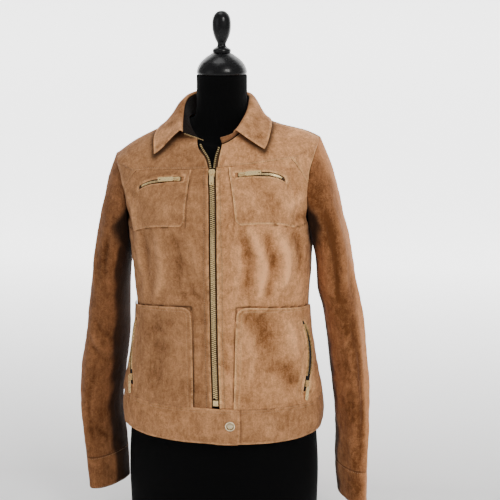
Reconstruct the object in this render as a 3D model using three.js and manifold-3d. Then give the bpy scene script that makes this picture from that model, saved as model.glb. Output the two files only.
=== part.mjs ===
// A suede zip jacket worn by a limbless dress form. Millimetres, +Z up, the front faces -Y and
// +X is the wearer's left. z = 0 is the flat foot of the form. "Level" names a height on the
// jacket measured at its side, and phi is the angle round the body, 0 at the front.
import * as THREE from "three";
import { mergeVertices } from "three/addons/utils/BufferGeometryUtils.js";
import Module from "manifold-3d";

const wasm = await Module();
wasm.setup();

const DEG = Math.PI / 180;

// Driving sizes
const SUEDE = 2.0; // shell with its turnings
const PATCH = 1.5; // pocket patches
const BAND = 2.4; // waistband
const COLLAR = 1.6; // stand and fall
const SEAM = 0.3; // gap between neighbouring pieces
const LAP = 0.6; // gap under a piece that lies on a panel
const HEM_LEVEL = 214;
const BAND_LEVEL = 283;
const PIT_LEVEL = 562;
const TIP_LEVEL = 746;
const NECK_LEVEL = 808;
const ARM_FRONT = 19 * DEG; // how far the armhole bows into the front and the back
const ARM_BACK = 17 * DEG;
const ZIP_RECESS = 7.0; // centre front to the leather's edge
const CHAIN_HALF = 3.8;
const TAPE_HALF = 14;
const SLIDER_LEVEL = 751;
const NECK_RADIUS = 45.5;
const NECK_TOP = 870;

// The jacket's outer surface: one row for each ring round the body.
const RINGS = table(
  "level width front back zFront zSide zBack square shift lean",
  [
    [214, 189, 120, 126, 214, 220, 220, 2.25, 1, 0],
    [250, 192, 123, 128, 250, 252, 252, 2.25, 1, 0],
    [283, 187, 122, 124, 283, 284, 284, 2.25, 1, 0],
    [335, 176, 118, 114, 335, 335, 335, 2.25, 1, 0.003],
    [373, 169, 115, 106, 373, 373, 373, 2.25, 1, 0.007],
    [450, 161, 112, 96, 450, 450, 450, 2.25, 1, 0.014],
    [510, 164, 117, 100, 509, 510, 510, 2.3, 1, 0.024],
    [562, 167, 123, 105, 559, 562, 562, 2.4, 0, 0.034],
    [610, 171, 126, 109, 603, 611, 612, 2.4, -1, 0.046],
    [660, 176, 121, 112, 643, 660, 658, 2.4, -3, 0.06],
    [705, 181, 110, 111, 674, 704, 700, 2.4, -5, 0.075],
    [746, 186, 97, 104, 702, 744, 736, 2.4, -7, 0.088],
    [770, 150, 87, 94, 722, 763, 760, 2.3, -6, 0.07],
    [790, 107, 80, 82, 738, 779, 779, 2.2, -4, 0.04],
    [808, 60, 74, 66, 752, 797, 798, 2.0, -1, 0.03],
  ],
);
const BUST = { x: 82, z: 606, spreadX: 52, spreadZ: 62, height: 12 };

// How far the form lies inside the jacket's surface: all round, and at the sides where the
// shoulders carry it.
const EASE = table("level gap side", [
  [283, 18, 18],
  [335, 22, 22],
  [373, 24, 24],
  [450, 26, 26],
  [510, 17, 17],
  [562, 9, 9],
  [610, 5.5, 5.5],
  [660, 5.5, 6.5],
  [705, 6, 8],
  [746, 5.4, 7.6],
  [765, 4.2, 2.7],
  [785, 4.2, 2.7],
  [808, 4.2, 4],
]);
const FRONT_ROOM = 3; // added at the front, where the zip lies inside
const HIPS = table("z width front back", [
  [0, 180, 100, 112],
  [60, 181, 101, 114],
  [130, 182, 102, 115],
  [200, 178, 101, 112],
  [255, 172, 102, 108],
]);
const NECK_FOOT = { z: 815, radius: 46.2, shift: 1.5 };

// Centre front, and the edges of the V above the slider, as angles round the body in degrees.
const CENTRE = table("level phi", [
  [214, 2],
  [283, 1.9],
  [391, 0.2],
  [484, -0.2],
  [580, 1.1],
  [631, 1.9],
  [688, 2.4],
  [753, 2.4],
]);
const OPENING = table("level edgeRight rowRight rowLeft edgeLeft", [
  [753, -1.8, 0.6, 4.2, 6.6],
  [762, -2.8, 0.3, 4.4, 8],
  [774, -5.6, -1.8, 4.6, 8.6],
  [786, -10.4, -6, 5.2, 9.2],
  [797, -19, -13, 6.2, 9.6],
  [808, -28, -22.5, 6.8, 10],
]);
// Yoke seam, by the angle from the front.
const YOKE = table("phi level", [
  [0, 762],
  [20, 761],
  [37, 757],
  [48, 750],
  [56, 737],
  [63, 714],
  [71.5, 682.4],
]);

// Collar, from the wearer's right front round the back to the left front. Angle is the place on the
// neck seam, roll is the inner face of the fold and edge is where the leaf ends on the shoulder.
const COLLAR_ROWS = table("angle rollX rollY rollZ edgeX edgeY", [
  [-26, -58.6, -68, 777, -110, -65],
  [-55, -63, -38, 796, -115, -34],
  [-90, -65, 2, 822, -106, 2],
  [-135, -51, 44, 835, -78, 62],
  [-180, -6, 62, 839, -4, 96],
  [-225, 38, 46, 835, 62, 66],
  [-270, 49.5, 6, 825, 88, 4],
  [-305, 45, -33, 800, 93, -36],
  [-330, 31, -71, 778, 85, -69],
  [-350, 9, -76, 770, 60, -80],
]);
const LEAF_END = -329; // the leaf stops here, and the stand runs on to centre front
const FOLD_RADIUS = 4;
const COLLAR_INSET = 3.4; // the stand rises this far inside the neckline and above it
const COLLAR_RISE = 1.6;
const LEAF_LIFT = 3.4; // the middle of the leaf's edge above the shoulder

// Sleeves: outer and inner edge as seen from the front, where the tube's centre lies and half its
// depth. Phase turns the mouth so that its front edge hangs lower. X is away from the body.
const SLEEVE_RIGHT = table("s outX outZ inX inZ centreY depth phase", [
  [0, 192, 731, 168, 560, 2, 54, 0],
  [0.06, 207, 692, 171, 547, 4, 60, 0],
  [0.12, 216, 658, 173, 532, 6, 64, 0],
  [0.2, 225, 612, 177, 506, 9, 66, 2],
  [0.3, 238, 550, 181, 472, 13, 65, 5],
  [0.42, 249, 474, 184, 430, 18, 62, 10],
  [0.55, 261, 391, 187, 373, 22, 59, 16],
  [0.68, 270, 305, 197, 298, 20, 56, 22],
  [0.8, 269, 232, 204, 230, 12, 54, 28],
  [0.91, 261, 150, 195, 150, 0, 51, 36],
  [1, 252, 88, 190, 84, -12, 49, 42],
]);
const SLEEVE_LEFT = table("s outX outZ inX inZ centreY depth phase", [
  [0, 180, 761, 168, 570, 2, 54, 0],
  [0.06, 196, 722, 171, 556, 4, 60, 0],
  [0.12, 208, 686, 173, 540, 6, 64, 0],
  [0.2, 221, 632, 175, 512, 8, 66, 2],
  [0.3, 237, 562, 177, 480, 10, 65, 5],
  [0.42, 251, 482, 187, 440, 12, 61, 10],
  [0.55, 263, 400, 195, 382, 12, 58, 16],
  [0.68, 272, 312, 204, 304, 8, 55, 22],
  [0.8, 276, 232, 213, 232, 0, 52, 28],
  [0.91, 277, 152, 214, 152, -10, 50, 36],
  [1, 278, 86, 220, 84, -20, 48, 42],
]);
// Largest folds: a ridge from one place to another, or a hollow where height is below 0. On the
// body, places are degrees round it and levels.
const DRAPES = table("phi level phiEnd levelEnd width height", [
  [33, 604, 38, 515, 13, 3.5],
  [41, 600, 45, 500, 12, -3.5],
  [50, 598, 55, 505, 15, 4.5],
  [64, 600, 70, 520, 15, -3],
  [-66, 600, -54, 490, 15, 4],
  [-40, 606, -48, 490, 16, 3],
  [-54, 600, -60, 520, 14, -3.5],
  [150, 690, 165, 560, 26, 4],
  [205, 690, 195, 560, 26, 4],
  [178, 660, 180, 470, 20, -3],
  [125, 470, 160, 415, 18, 4],
  [235, 470, 200, 415, 18, 4],
]);
const DRAPE_ARC = 2.44; // millimetres for one degree round the body
const DRAPE_FADE = { low: 466, high: 616, reach: 16, back: 300 };
// On a sleeve, places are the turn round it, 0 outside and 90 degrees in front, and millimetres
// along it.
const SLEEVE_DRAPES = [
  {
    side: -1,
    rows: table("turn along turnEnd alongEnd width height", [
      [66, 330, 128, 366, 9, -4],
      [60, 352, 126, 390, 8, 3.5],
      [64, 380, 124, 412, 9, -3.5],
      [48, 90, 60, 270, 16, 3],
      [20, 400, 40, 560, 14, 3],
      [250, 130, 235, 320, 18, -4],
      [296, 200, 285, 450, 18, 3.5],
    ]),
  },
  {
    side: 1,
    rows: table("turn along turnEnd alongEnd width height", [
      [88, 70, 94, 260, 13, -4.5],
      [60, 60, 64, 270, 13, 4],
      [34, 200, 30, 600, 14, 4],
      [64, 300, 58, 590, 14, -3],
      [74, 316, 128, 350, 9, -3],
      [250, 130, 235, 320, 18, -4],
      [296, 200, 285, 450, 18, 3.5],
    ]),
  },
];
const SLEEVE_LENGTH = 650;
const CUFF_AT = 0.915;
const ARM_BLEND = 0.14; // share of the sleeve that turns from the armhole into the tube
const CROWN_LIFT = 0.4; // the sleeve's seam edge above the body's surface

// Pockets and their zips. Side -1 is the wearer's right.
const CHEST_POCKET = {
  inner: 20,
  outer: 60,
  corner: 11,
  zipHalf: 4.4,
  bottom: table("phi level", [
    [16, 630],
    [24, 629],
    [40, 627],
    [48, 622],
    [60, 608],
  ]),
};
const CHEST_ZIP = table("phi level", [
  [26, 741],
  [35, 740],
  [44, 734],
  [50, 727],
  [54, 717],
  [57, 705],
]);
const LOWER_POCKET = {
  outer: 88,
  corner: 15,
  inner: table("level phi", [
    [284, 17],
    [370, 18.5],
    [470, 20.5],
  ]),
  top: table("phi level", [
    [18, 469],
    [35, 468],
    [55, 463],
    [72, 456],
    [90, 450],
  ]),
};
const LOWER_ZIP = table("level phi", [
  [296, 66.5],
  [318, 69.5],
  [345, 74.5],
  [370, 77.5],
  [396, 77.5],
  [432, 72.5],
]);
// Half the open mouth, in degrees round the body
const MOUTH = table("level half", [
  [304, 2],
  [322, 2.1],
  [350, 2.7],
  [376, 2.9],
  [404, 2.2],
  [430, 0.8],
]);
const MOUTH_BOTTOM = 304;
const MOUTH_TOP = 430;
// Levels that the fronts, the back and what lies on them share
const PANEL_LEVELS = [304, 322, 350, 376, 404, 430, 450, 470, 500, 530];
const SLEEVE_SIDES = 20;

// Slider and pull tab
const BRIDGE = { inside: 3.0, outside: 4.2, room: 2.6, top: 1.1, width: 1.8 };
const TAB = { thick: 1.4, bar: 0.7, eye: 5.4, eyeHalf: 1.35, hole: 1.3 };

// Named columns over plain rows
function table(names, rows) {
  const columns = {};
  names.split(" ").forEach((name, k) => {
    columns[name] = rows.map((row) => row[k]);
  });
  columns.at = columns[names.split(" ")[0]];
  return columns;
}

// Smooth curve through a column of a table, with a corner at one row where asked.
function curve(rows, column, at, corner) {
  const x = rows.at;
  const y = rows[column];
  const last = x.length - 1;
  const way = Math.sign(x[last] - x[0]);
  const q = way > 0 ? clamp(at, x[0], x[last]) : clamp(at, x[last], x[0]);
  let i = 0;
  while (i < last - 1 && (q - x[i + 1]) * way >= 0) i += 1;
  const step = (k) => x[k + 1] - x[k];
  const slope = (k) => (y[k + 1] - y[k]) / step(k);
  const tangent = (k, side) => {
    if (k === 0) return slope(0);
    if (k === last) return slope(last - 1);
    if (x[k] === corner) return slope(k + side);
    return (
      (slope(k - 1) * step(k) + slope(k) * step(k - 1)) / (x[k + 1] - x[k - 1])
    );
  };
  const h = step(i);
  const t = (q - x[i]) / h;
  const t2 = t * t;
  const t3 = t2 * t;
  return (
    (2 * t3 - 3 * t2 + 1) * y[i] +
    (t3 - 2 * t2 + t) * h * tangent(i, 0) +
    (-2 * t3 + 3 * t2) * y[i + 1] +
    (t3 - t2) * h * tangent(i + 1, -1)
  );
}

function clamp(value, low, high) {
  return Math.min(Math.max(value, low), high);
}

function mix(a, b, t) {
  return a + (b - a) * t;
}

function smooth(t) {
  const k = clamp(t, 0, 1);
  return k * k * (3 - 2 * k);
}

// 0 to n
function counted(n) {
  return Array.from({ length: n + 1 }, (_, k) => k);
}

// n + 1 even steps from a to b
function steps(a, b, n) {
  return counted(n).map((k) => mix(a, b, k / n));
}

function radiusAt(phi, width, depth, square) {
  const across = Math.abs(Math.sin(phi)) / width;
  const along = Math.abs(Math.cos(phi)) / depth;
  return (across ** square + along ** square) ** (-1 / square);
}

// A point of the jacket's outer surface
function body(phi, level) {
  const ring = (column, corner) => curve(RINGS, column, level, corner);
  const front = Math.cos(phi) >= 0;
  const depth = ring(front ? "front" : "back");
  const width = ring("width", TIP_LEVEL);
  const r = radiusAt(phi, width, depth, ring("square"));
  const x = r * Math.sin(phi);
  const y = -r * Math.cos(phi);
  const side = ring("zSide", TIP_LEVEL);
  const middle = ring(front ? "zFront" : "zBack");
  const z = side + (middle - side) * (Math.abs(y) / depth) ** 1.6;
  const fx = (Math.abs(x) - BUST.x) / BUST.spreadX;
  const fz = (z - BUST.z) / BUST.spreadZ;
  const bump = BUST.height * Math.exp(-fx * fx - fz * fz) * clamp(-y / 60, 0, 1);
  return new THREE.Vector3(
    x + ring("shift", TIP_LEVEL),
    y - bump,
    z + ring("lean") * x,
  );
}

function bodyNormal(phi, level) {
  const around = body(phi + 0.004, level).sub(body(phi - 0.004, level));
  const upward = body(phi, level + 1).sub(body(phi, level - 1));
  return around.cross(upward).normalize();
}

// Height of one fold at a place: it falls off to both sides of its line and to its ends
function ridge(u, v, [u0, v0, u1, v1, width, height]) {
  const span = Math.hypot(u1 - u0, v1 - v0);
  const along = ((u - u0) * (u1 - u0) + (v - v0) * (v1 - v0)) / span ** 2;
  const off = ((u - u0) * (v1 - v0) - (v - v0) * (u1 - u0)) / span / width;
  const ends = smooth((along + 0.18) / 0.4) * smooth((1.18 - along) / 0.4);
  return height * Math.exp(-off * off) * ends;
}

function folds(rows, u, v, arc) {
  const [names, scales] = [Object.keys(rows).slice(0, 6), [arc, 1, arc, 1, 1, 1]];
  return rows[names[0]].reduce(
    (sum, _, k) => sum + ridge(u, v, names.map((n, c) => rows[n][k] * scales[c])),
    0,
  );
}

// The body's folds lie between the pockets in front, and all over the back
function drape(phi, level) {
  const turn = ((phi / DEG + 450) % 360) - 90;
  const inBack = smooth((turn - 104) / 10) * smooth((256 - turn) / 10);
  const { low, high, reach, back } = DRAPE_FADE;
  const inFront = smooth((level - low) / reach) * smooth((high - level) / reach);
  const overHem = smooth((level - back) / reach);
  const flatSide = smooth((Math.abs(turn - 90) - 12) / 10) * smooth((Math.abs(turn + 90) - 12) / 10);
  const share = mix(inFront, overHem, inBack) * mix(1, flatSide, smooth((level - 500) / 40));
  return folds(DRAPES, turn * DRAPE_ARC, level, DRAPE_ARC) * share;
}

function lifted(phi, level, lift) {
  const height = lift + drape(phi, level);
  return body(phi, level).addScaledVector(bodyNormal(phi, level), height);
}

// Millimetres along a ring, near the front, as an angle
function across(level, mm) {
  return mm / curve(RINGS, "front", level);
}

// The armhole's edge at a level, as the angle from the front
function armEdge(level, bow) {
  const u = clamp(
    (2 * (level - PIT_LEVEL)) / (TIP_LEVEL - PIT_LEVEL) - 1,
    -1,
    1,
  );
  return Math.PI / 2 - bow * Math.sqrt(1 - u * u);
}

function centreAt(level) {
  return curve(CENTRE, "phi", level) * DEG;
}

function yokeAt(phi) {
  return curve(YOKE, "level", Math.abs(phi) / DEG);
}

// A wall between two grids of points. A cell that open(i, j) names is left out, and a grid whose
// last column meets its first is wrapped.
function wall(outer, inner, { wrap = false, open = () => false } = {}) {
  const rows = outer.length;
  const columns = outer[0].length;
  const points = [...outer.flat(), ...inner.flat()];
  const half = rows * columns;
  const at = (i, j) => i * columns + (j % columns);
  const lastColumn = wrap ? columns : columns - 1;
  const kept = (i, j) => {
    if (i < 0 || i >= rows - 1) return false;
    const column = wrap ? (j + lastColumn) % lastColumn : j;
    if (column < 0 || column >= lastColumn) return false;
    return !open(i, column);
  };
  const faces = [];
  const quad = (a, b, c, d) => faces.push([a, b, c], [a, c, d]);
  for (let i = 0; i < rows - 1; i += 1) {
    for (let j = 0; j < lastColumn; j += 1) {
      if (!kept(i, j)) continue;
      const [a, b] = [at(i, j), at(i, j + 1)];
      const [c, d] = [at(i + 1, j + 1), at(i + 1, j)];
      quad(a, b, c, d);
      quad(half + a, half + d, half + c, half + b);
      if (!kept(i - 1, j)) quad(b, a, half + a, half + b);
      if (!kept(i + 1, j)) quad(d, c, half + c, half + d);
      if (!kept(i, j - 1)) quad(a, d, half + d, half + a);
      if (!kept(i, j + 1)) quad(c, b, half + b, half + c);
    }
  }
  return meshOf(points, faces);
}

// A closed skin over rings of points, with a flat or pointed lid at each end
function skin(rings) {
  const columns = rings[0].length;
  const points = rings.flat();
  const faces = [];
  for (let i = 0; i < rings.length - 1; i += 1) {
    for (let j = 0; j < columns; j += 1) {
      const k = (j + 1) % columns;
      const [a, b] = [i * columns + j, i * columns + k];
      faces.push([a, b, b + columns], [a, b + columns, a + columns]);
    }
  }
  for (const end of [0, rings.length - 1]) {
    const centre = new THREE.Vector3();
    rings[end].forEach((p) => centre.addScaledVector(p, 1 / columns));
    const hub = points.push(centre) - 1;
    for (let j = 0; j < columns; j += 1) {
      const [a, b] = [end * columns + j, end * columns + ((j + 1) % columns)];
      faces.push(end === 0 ? [b, a, hub] : [a, b, hub]);
    }
  }
  return meshOf(points, faces);
}

// A geometry whose faces point out, whichever way round its grid ran
function meshOf(points, faces) {
  const used = points.flatMap((p) => [p.x, p.y, p.z]);
  let volume = 0;
  const turn = new THREE.Vector3();
  for (const [a, b, c] of faces) {
    volume += points[a].dot(turn.crossVectors(points[b], points[c]));
  }
  const index = faces.flatMap(([a, b, c]) => (volume > 0 ? [a, b, c] : [a, c, b]));
  const geometry = new THREE.BufferGeometry();
  geometry.setAttribute("position", new THREE.Float32BufferAttribute(used, 3));
  geometry.setIndex(index);
  geometry.computeVertexNormals();
  return geometry;
}

function solidOf(geometry) {
  const bare = geometry.clone();
  bare.deleteAttribute("normal");
  bare.deleteAttribute("uv");
  const merged = mergeVertices(bare, 1e-4);
  return new wasm.Manifold(
    new wasm.Mesh({
      numProp: 3,
      vertProperties: new Float32Array(merged.attributes.position.array),
      triVerts: new Uint32Array(merged.index.array),
    }),
  );
}

function joined(first, second) {
  const made = solidOf(first).add(solidOf(second)).getMesh();
  const geometry = new THREE.BufferGeometry();
  const flat = made.vertProperties;
  geometry.setAttribute("position", new THREE.BufferAttribute(flat, 3));
  geometry.setIndex([...made.triVerts]);
  geometry.computeVertexNormals();
  return geometry;
}

// Materials
const finish = (color, roughness, metalness) =>
  new THREE.MeshStandardMaterial({ color, roughness, metalness });
const SUEDE_LOOK = () => finish(0xa9764c, 0.95, 0);
const BRASS_LOOK = () => finish(0xd8c48c, 0.35, 0.9);
const TAPE_LOOK = () => finish(0x4a3526, 0.9, 0);
const LINING_LOOK = () => finish(0x0c0b0b, 0.8, 0);
const JERSEY_LOOK = () => finish(0x08080a, 0.95, 0);
const LACQUER_LOOK = () => finish(0x07080a, 0.2, 0);
const SNAP_LOOK = () => finish(0xd9d2c0, 0.35, 0.9);

const jacket = new THREE.Group();
jacket.name = "jacket_on_form";

function add(name, geometry, material) {
  const mesh = new THREE.Mesh(geometry, material);
  mesh.name = name;
  jacket.add(mesh);
  return mesh;
}

// A piece of cloth on the body. place(i, j) gives the angle, the level and, if the piece is lifted
// off the panel below, how far.
function clothOn(rows, columns, place, lift, thick, options) {
  const grid = (offset) =>
    counted(rows).map((i) =>
      counted(columns).map((j) => {
        const { phi, level, rise = 0 } = place(i, j);
        return lifted(phi, level, lift + rise - offset);
      }),
    );
  return wall(grid(0), grid(thick), options);
}

// Levels where the sleeve's facets meet the armhole, from the pit up
const LOOP_LEVELS = steps(Math.PI, 0, SLEEVE_SIDES / 2).map(
  (theta) => PIT_LEVEL + ((TIP_LEVEL - PIT_LEVEL) * (1 + Math.cos(theta))) / 2,
);
const YOKE_LEVEL = LOOP_LEVELS[6];
const BODY_LEVELS = [BAND_LEVEL + SEAM / 2, ...PANEL_LEVELS, PIT_LEVEL];

// Fronts, yokes and back
function frontEdge(side, level) {
  return centreAt(level) + side * across(level, ZIP_RECESS);
}

// The yoke seam as the panel's columns meet it, from centre front to the armhole
function seamAt(t) {
  return yokeAt(mix(5 * DEG, armEdge(YOKE_LEVEL, ARM_FRONT), t));
}

const FRONT_COLUMNS = 11;

function front(side) {
  const reach = YOKE_LEVEL - PIT_LEVEL;
  const shares = LOOP_LEVELS.slice(1, 7).map((l) => (l - PIT_LEVEL) / reach);
  shares.splice(5, 0, mix(shares[4], 1, 0.5));
  shares.splice(4, 0, mix(shares[3], shares[4], 0.5));
  shares.splice(3, 0, mix(shares[2], shares[3], 0.5));
  const rows = [...BODY_LEVELS, ...shares];
  const place = (i, j) => {
    const t = j / FRONT_COLUMNS;
    const above = i >= BODY_LEVELS.length;
    const seam = seamAt(t) - SEAM / 2;
    const level = above ? mix(PIT_LEVEL, seam, rows[i]) : rows[i];
    const edge = side * armEdge(level, ARM_FRONT);
    return { phi: mix(frontEdge(side, level), edge, t), level };
  };
  return clothOn(rows.length - 1, FRONT_COLUMNS, place, 0, SUEDE);
}

const SHOULDER_LEVELS = [...LOOP_LEVELS.slice(7), 765, 785, NECK_LEVEL];

function yokeFront(side) {
  const reach = NECK_LEVEL - YOKE_LEVEL;
  const shares = [0, ...SHOULDER_LEVELS.map((l) => (l - YOKE_LEVEL) / reach)];
  const edgeName = side < 0 ? "edgeRight" : "edgeLeft";
  const place = (i, j) => {
    const t = j / FRONT_COLUMNS;
    const level = mix(seamAt(t) + SEAM / 2, NECK_LEVEL, shares[i]);
    const middle = curve(OPENING, edgeName, level) * DEG;
    const gap = level >= TIP_LEVEL ? SEAM / 2 / sideRadius(level) : 0;
    const outer = side * (armEdge(level, ARM_FRONT) - gap);
    return { phi: mix(middle, outer, t), level };
  };
  return clothOn(shares.length - 1, FRONT_COLUMNS, place, 0, SUEDE);
}

function sideRadius(level) {
  return curve(RINGS, "width", level, TIP_LEVEL);
}

function back() {
  const levels = [
    ...BODY_LEVELS,
    ...LOOP_LEVELS.slice(1, 7),
    ...SHOULDER_LEVELS,
  ];
  const columns = 18;
  const place = (i, j) => {
    const level = levels[i];
    const sideSeam = Math.PI / 2 + SEAM / 2 / sideRadius(level);
    const start = Math.max(Math.PI - armEdge(level, ARM_BACK), sideSeam);
    return { phi: mix(start, 2 * Math.PI - start, j / columns), level };
  };
  return clothOn(levels.length - 1, columns, place, 0, SUEDE);
}

// Waistband: the wearer's right front laps over the left in a tab with the snap.
const LAP_START = -3 * DEG;
const LAP_FULL = 5 * DEG;
const LEFT_START = 6.5 * DEG;
const TAB_END = 21.5 * DEG;
const TAB_CORNER = 5;
const BAND_LEVELS = [HEM_LEVEL, 219, 250, 277, BAND_LEVEL - SEAM / 2];
const SNAP = { phi: 13.9 * DEG, level: 252, radius: 9.2, lift: 3.1 };

function bandFrontRight() {
  const start = -Math.PI / 2 + SEAM / 2 / sideRadius(BAND_LEVEL);
  const stations = [
    ...steps(start, LAP_START, 9),
    ...steps(-0.5 * DEG, LAP_FULL, 2),
    ...steps(12 * DEG, TAB_END, 2),
  ];
  const place = (i, j) => {
    const phi = stations[j];
    const rise = (BAND + SEAM) * smooth((phi - LAP_START) / (LAP_FULL - LAP_START));
    const atEnd = j === stations.length - 1;
    const atCorner = i === 0 || i === BAND_LEVELS.length - 1;
    const trim = atEnd && atCorner ? across(BAND_LEVEL, TAB_CORNER) : 0;
    return { phi: phi - trim, level: BAND_LEVELS[i], rise };
  };
  return clothOn(BAND_LEVELS.length - 1, stations.length - 1, place, 0, BAND);
}

function bandBetween(from, to, columns) {
  const gap = SEAM / 2 / sideRadius(BAND_LEVEL);
  const place = (i, j) => ({
    phi: mix(from + gap, to - gap, j / columns),
    level: BAND_LEVELS[i],
  });
  return clothOn(BAND_LEVELS.length - 1, columns, place, 0, BAND);
}

// The square corner at p = 0, q = 0 made round, in millimetres from the two edges
function rounded(p, q, radius) {
  const a = 1 - p / radius;
  const b = 1 - q / radius;
  if (a <= 0 || b <= 0) return [p, q];
  const scale = Math.max(a, b) / Math.hypot(a, b);
  return [radius * (1 - a * scale), radius * (1 - b * scale)];
}

// Millimetres up the cloth as levels
function upward(phi, level, mm) {
  return mm / body(phi, level + 1).distanceTo(body(phi, level));
}

// Chest pocket: a patch under the yoke, with a slot for its zip
const CHEST_WIDTH = 88;
const CHEST_DEPTH = 80; // from the bottom edge to the zip
const UNDER_SEAM = 1.5; // from the yoke seam to the patch's top edge
const OVER_ZIP = 2.5; // least cloth above the slot

function chestPocket(side) {
  const spec = CHEST_POCKET;
  const ps = [0, 3, 7, 11, 30, 42, 54, 64, 73, 80, CHEST_WIDTH];
  const qs = [0, 3, 11, 30, 48, 64];
  const rows = [...qs, "under", "over", "top"];
  const place = (i, j) => {
    const [p, q] = rounded(ps[j], qs[i] ?? CHEST_DEPTH, spec.corner);
    const phi = mix(spec.inner, spec.outer, p / CHEST_WIDTH);
    const bottom = curve(spec.bottom, "level", phi);
    const top = yokeAt(phi * DEG) - UNDER_SEAM;
    const zip = curve(CHEST_ZIP, "level", phi);
    const half = upward(phi * DEG, zip, spec.zipHalf);
    const under = zip - half;
    const levels = { under, over: Math.min(zip + half, top - OVER_ZIP), top };
    const level = levels[rows[i]] ?? mix(bottom, under, q / CHEST_DEPTH);
    return { phi: side * phi * DEG, level };
  };
  const slot = { from: ps.indexOf(11), to: ps.indexOf(80) };
  const open = (i, j) => rows[i] === "under" && j >= slot.from && j < slot.to;
  const lift = LAP + PATCH;
  return clothOn(rows.length - 1, ps.length - 1, place, lift, PATCH, { open });
}

// Lower pocket: a patch with its mouth at the side, over a dark lining that shows in the gap
const LOWER_WIDTH = 132;
const LINING = 0.7;
const LINING_LIFT = LAP + LINING + 0.25;
const LOWER_PATCH_LIFT = LINING_LIFT + 0.5;
const MOUTH_LEVELS = PANEL_LEVELS.filter((l) => l <= MOUTH_TOP);

// Columns beside the mouth: a share of the way to it, its two edges, a share of the way past it
const MOUTH_COLUMNS = [0.84, 0.92, "in", "out", 0.25, 0.5];
const LINING_TOP = 450;
const POCKET_TOP = 460; // level at which the columns are read along the top edge

function mouthEdge(level, way) {
  const middle = curve(LOWER_ZIP, "phi", level);
  return middle + way * curve(MOUTH, "half", level);
}

// A column of the lower pocket: an edge of its mouth, or a share of the way to it
function mouthColumn(p, level, behind) {
  if (p === "in") return mouthEdge(level, -1);
  if (p === "out") return mouthEdge(level, 1);
  if (p === "middle") return mouthEdge(level, 0);
  if (behind) return mix(mouthEdge(level, 1), LOWER_POCKET.outer, p);
  return mix(curve(LOWER_POCKET.inner, "phi", level), mouthEdge(level, -1), p);
}

function lowerPocket(side) {
  const spec = LOWER_POCKET;
  const corner = [0, 4, 9, spec.corner];
  const ps = [...corner, 0.27, 0.42, 0.57, 0.71, ...MOUTH_COLUMNS, 1];
  const columnPhi = (p, level, j) => {
    const inner = curve(spec.inner, "phi", level);
    if (j < corner.length) return mix(inner, spec.outer, p / LOWER_WIDTH);
    return mouthColumn(p, level, j > ps.indexOf("out"));
  };
  const drops = [19, 12, 5, 0];
  const rows = [BAND_LEVEL + SEAM, ...MOUTH_LEVELS, ...drops];
  const place = (i, j) => {
    const high = i > MOUTH_LEVELS.length;
    const near = j < corner.length;
    const drop = high ? rows[i] : spec.corner;
    const [p, q] = near ? rounded(ps[j], drop, spec.corner) : [ps[j], drop];
    const top = curve(spec.top, "level", columnPhi(p, POCKET_TOP, j));
    const level = high ? top - q : rows[i];
    return { phi: side * columnPhi(p, level, j) * DEG, level };
  };
  const low = rows.indexOf(MOUTH_BOTTOM);
  const high = rows.indexOf(MOUTH_TOP);
  const open = (i, j) => ps[j] === "in" && i >= low && i < high;
  const lift = LOWER_PATCH_LIFT + PATCH;
  return clothOn(rows.length - 1, ps.length - 1, place, lift, PATCH, { open });
}

function pocketLining(side) {
  const levels = [BAND_LEVEL + SEAM, ...MOUTH_LEVELS, LINING_TOP];
  const columns = [...MOUTH_COLUMNS];
  const out = columns.indexOf("out") + 1;
  columns.splice(out - 1, 0, "middle");
  const place = (i, j) => {
    const phi = mouthColumn(columns[j], levels[i], j > out);
    return { phi: side * phi * DEG, level: levels[i] };
  };
  const last = columns.length - 1;
  return clothOn(levels.length - 1, last, place, LINING_LIFT, LINING);
}

// Collar
function shoulderPoint(x, y) {
  let low = TIP_LEVEL;
  let high = NECK_LEVEL;
  for (let k = 0; k < 30; k += 1) {
    const level = (low + high) / 2;
    const shift = curve(RINGS, "shift", level, TIP_LEVEL);
    const phi = Math.atan2(x - shift, -y);
    const p = body(phi, level);
    if (Math.hypot(p.x - shift, p.y) > Math.hypot(x - shift, y)) low = level;
    else high = level;
  }
  const level = (low + high) / 2;
  const phi = Math.atan2(x - curve(RINGS, "shift", level, TIP_LEVEL), -y);
  return { phi, level };
}

// The collar's section at one place: the foot on the neck seam, the fold and the leaf's edge
function collarSection(angle) {
  const value = (column) => curve(COLLAR_ROWS, column, angle);
  const [x, y, z] = [value("rollX"), value("rollY"), value("rollZ")];
  const out = new THREE.Vector3(value("edgeX") - x, value("edgeY") - y, 0);
  out.normalize();
  const up = new THREE.Vector3(0, 0, 1);
  const phi = angle * DEG;
  const foot = lifted(phi, NECK_LEVEL, -SUEDE / 2);
  const inward = new THREE.Vector3(-foot.x, -foot.y, 0).normalize();
  foot.addScaledVector(inward, COLLAR_INSET).addScaledVector(up, COLLAR_RISE);
  const inside = new THREE.Vector3(x, y, z - FOLD_RADIUS);
  const hub = inside.clone().addScaledVector(out, FOLD_RADIUS);
  const seat = shoulderPoint(value("edgeX"), value("edgeY"));
  const edge = lifted(seat.phi, seat.level, LEAF_LIFT);
  return { out, up, foot, inside, hub, edge };
}

// Stand: from the foot to just under the fold
function standPoint(angle, v) {
  const { foot, inside } = collarSection(angle);
  return foot.lerp(inside, v);
}

// Fall: over the fold, then down to the leaf's edge with a slight bow
const FALL_TURN = [18, 50, 90, 125];
const FALL_STEPS = 4;
const LEAF_ARRIVE = { out: 0.88, up: -0.47 };

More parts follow.
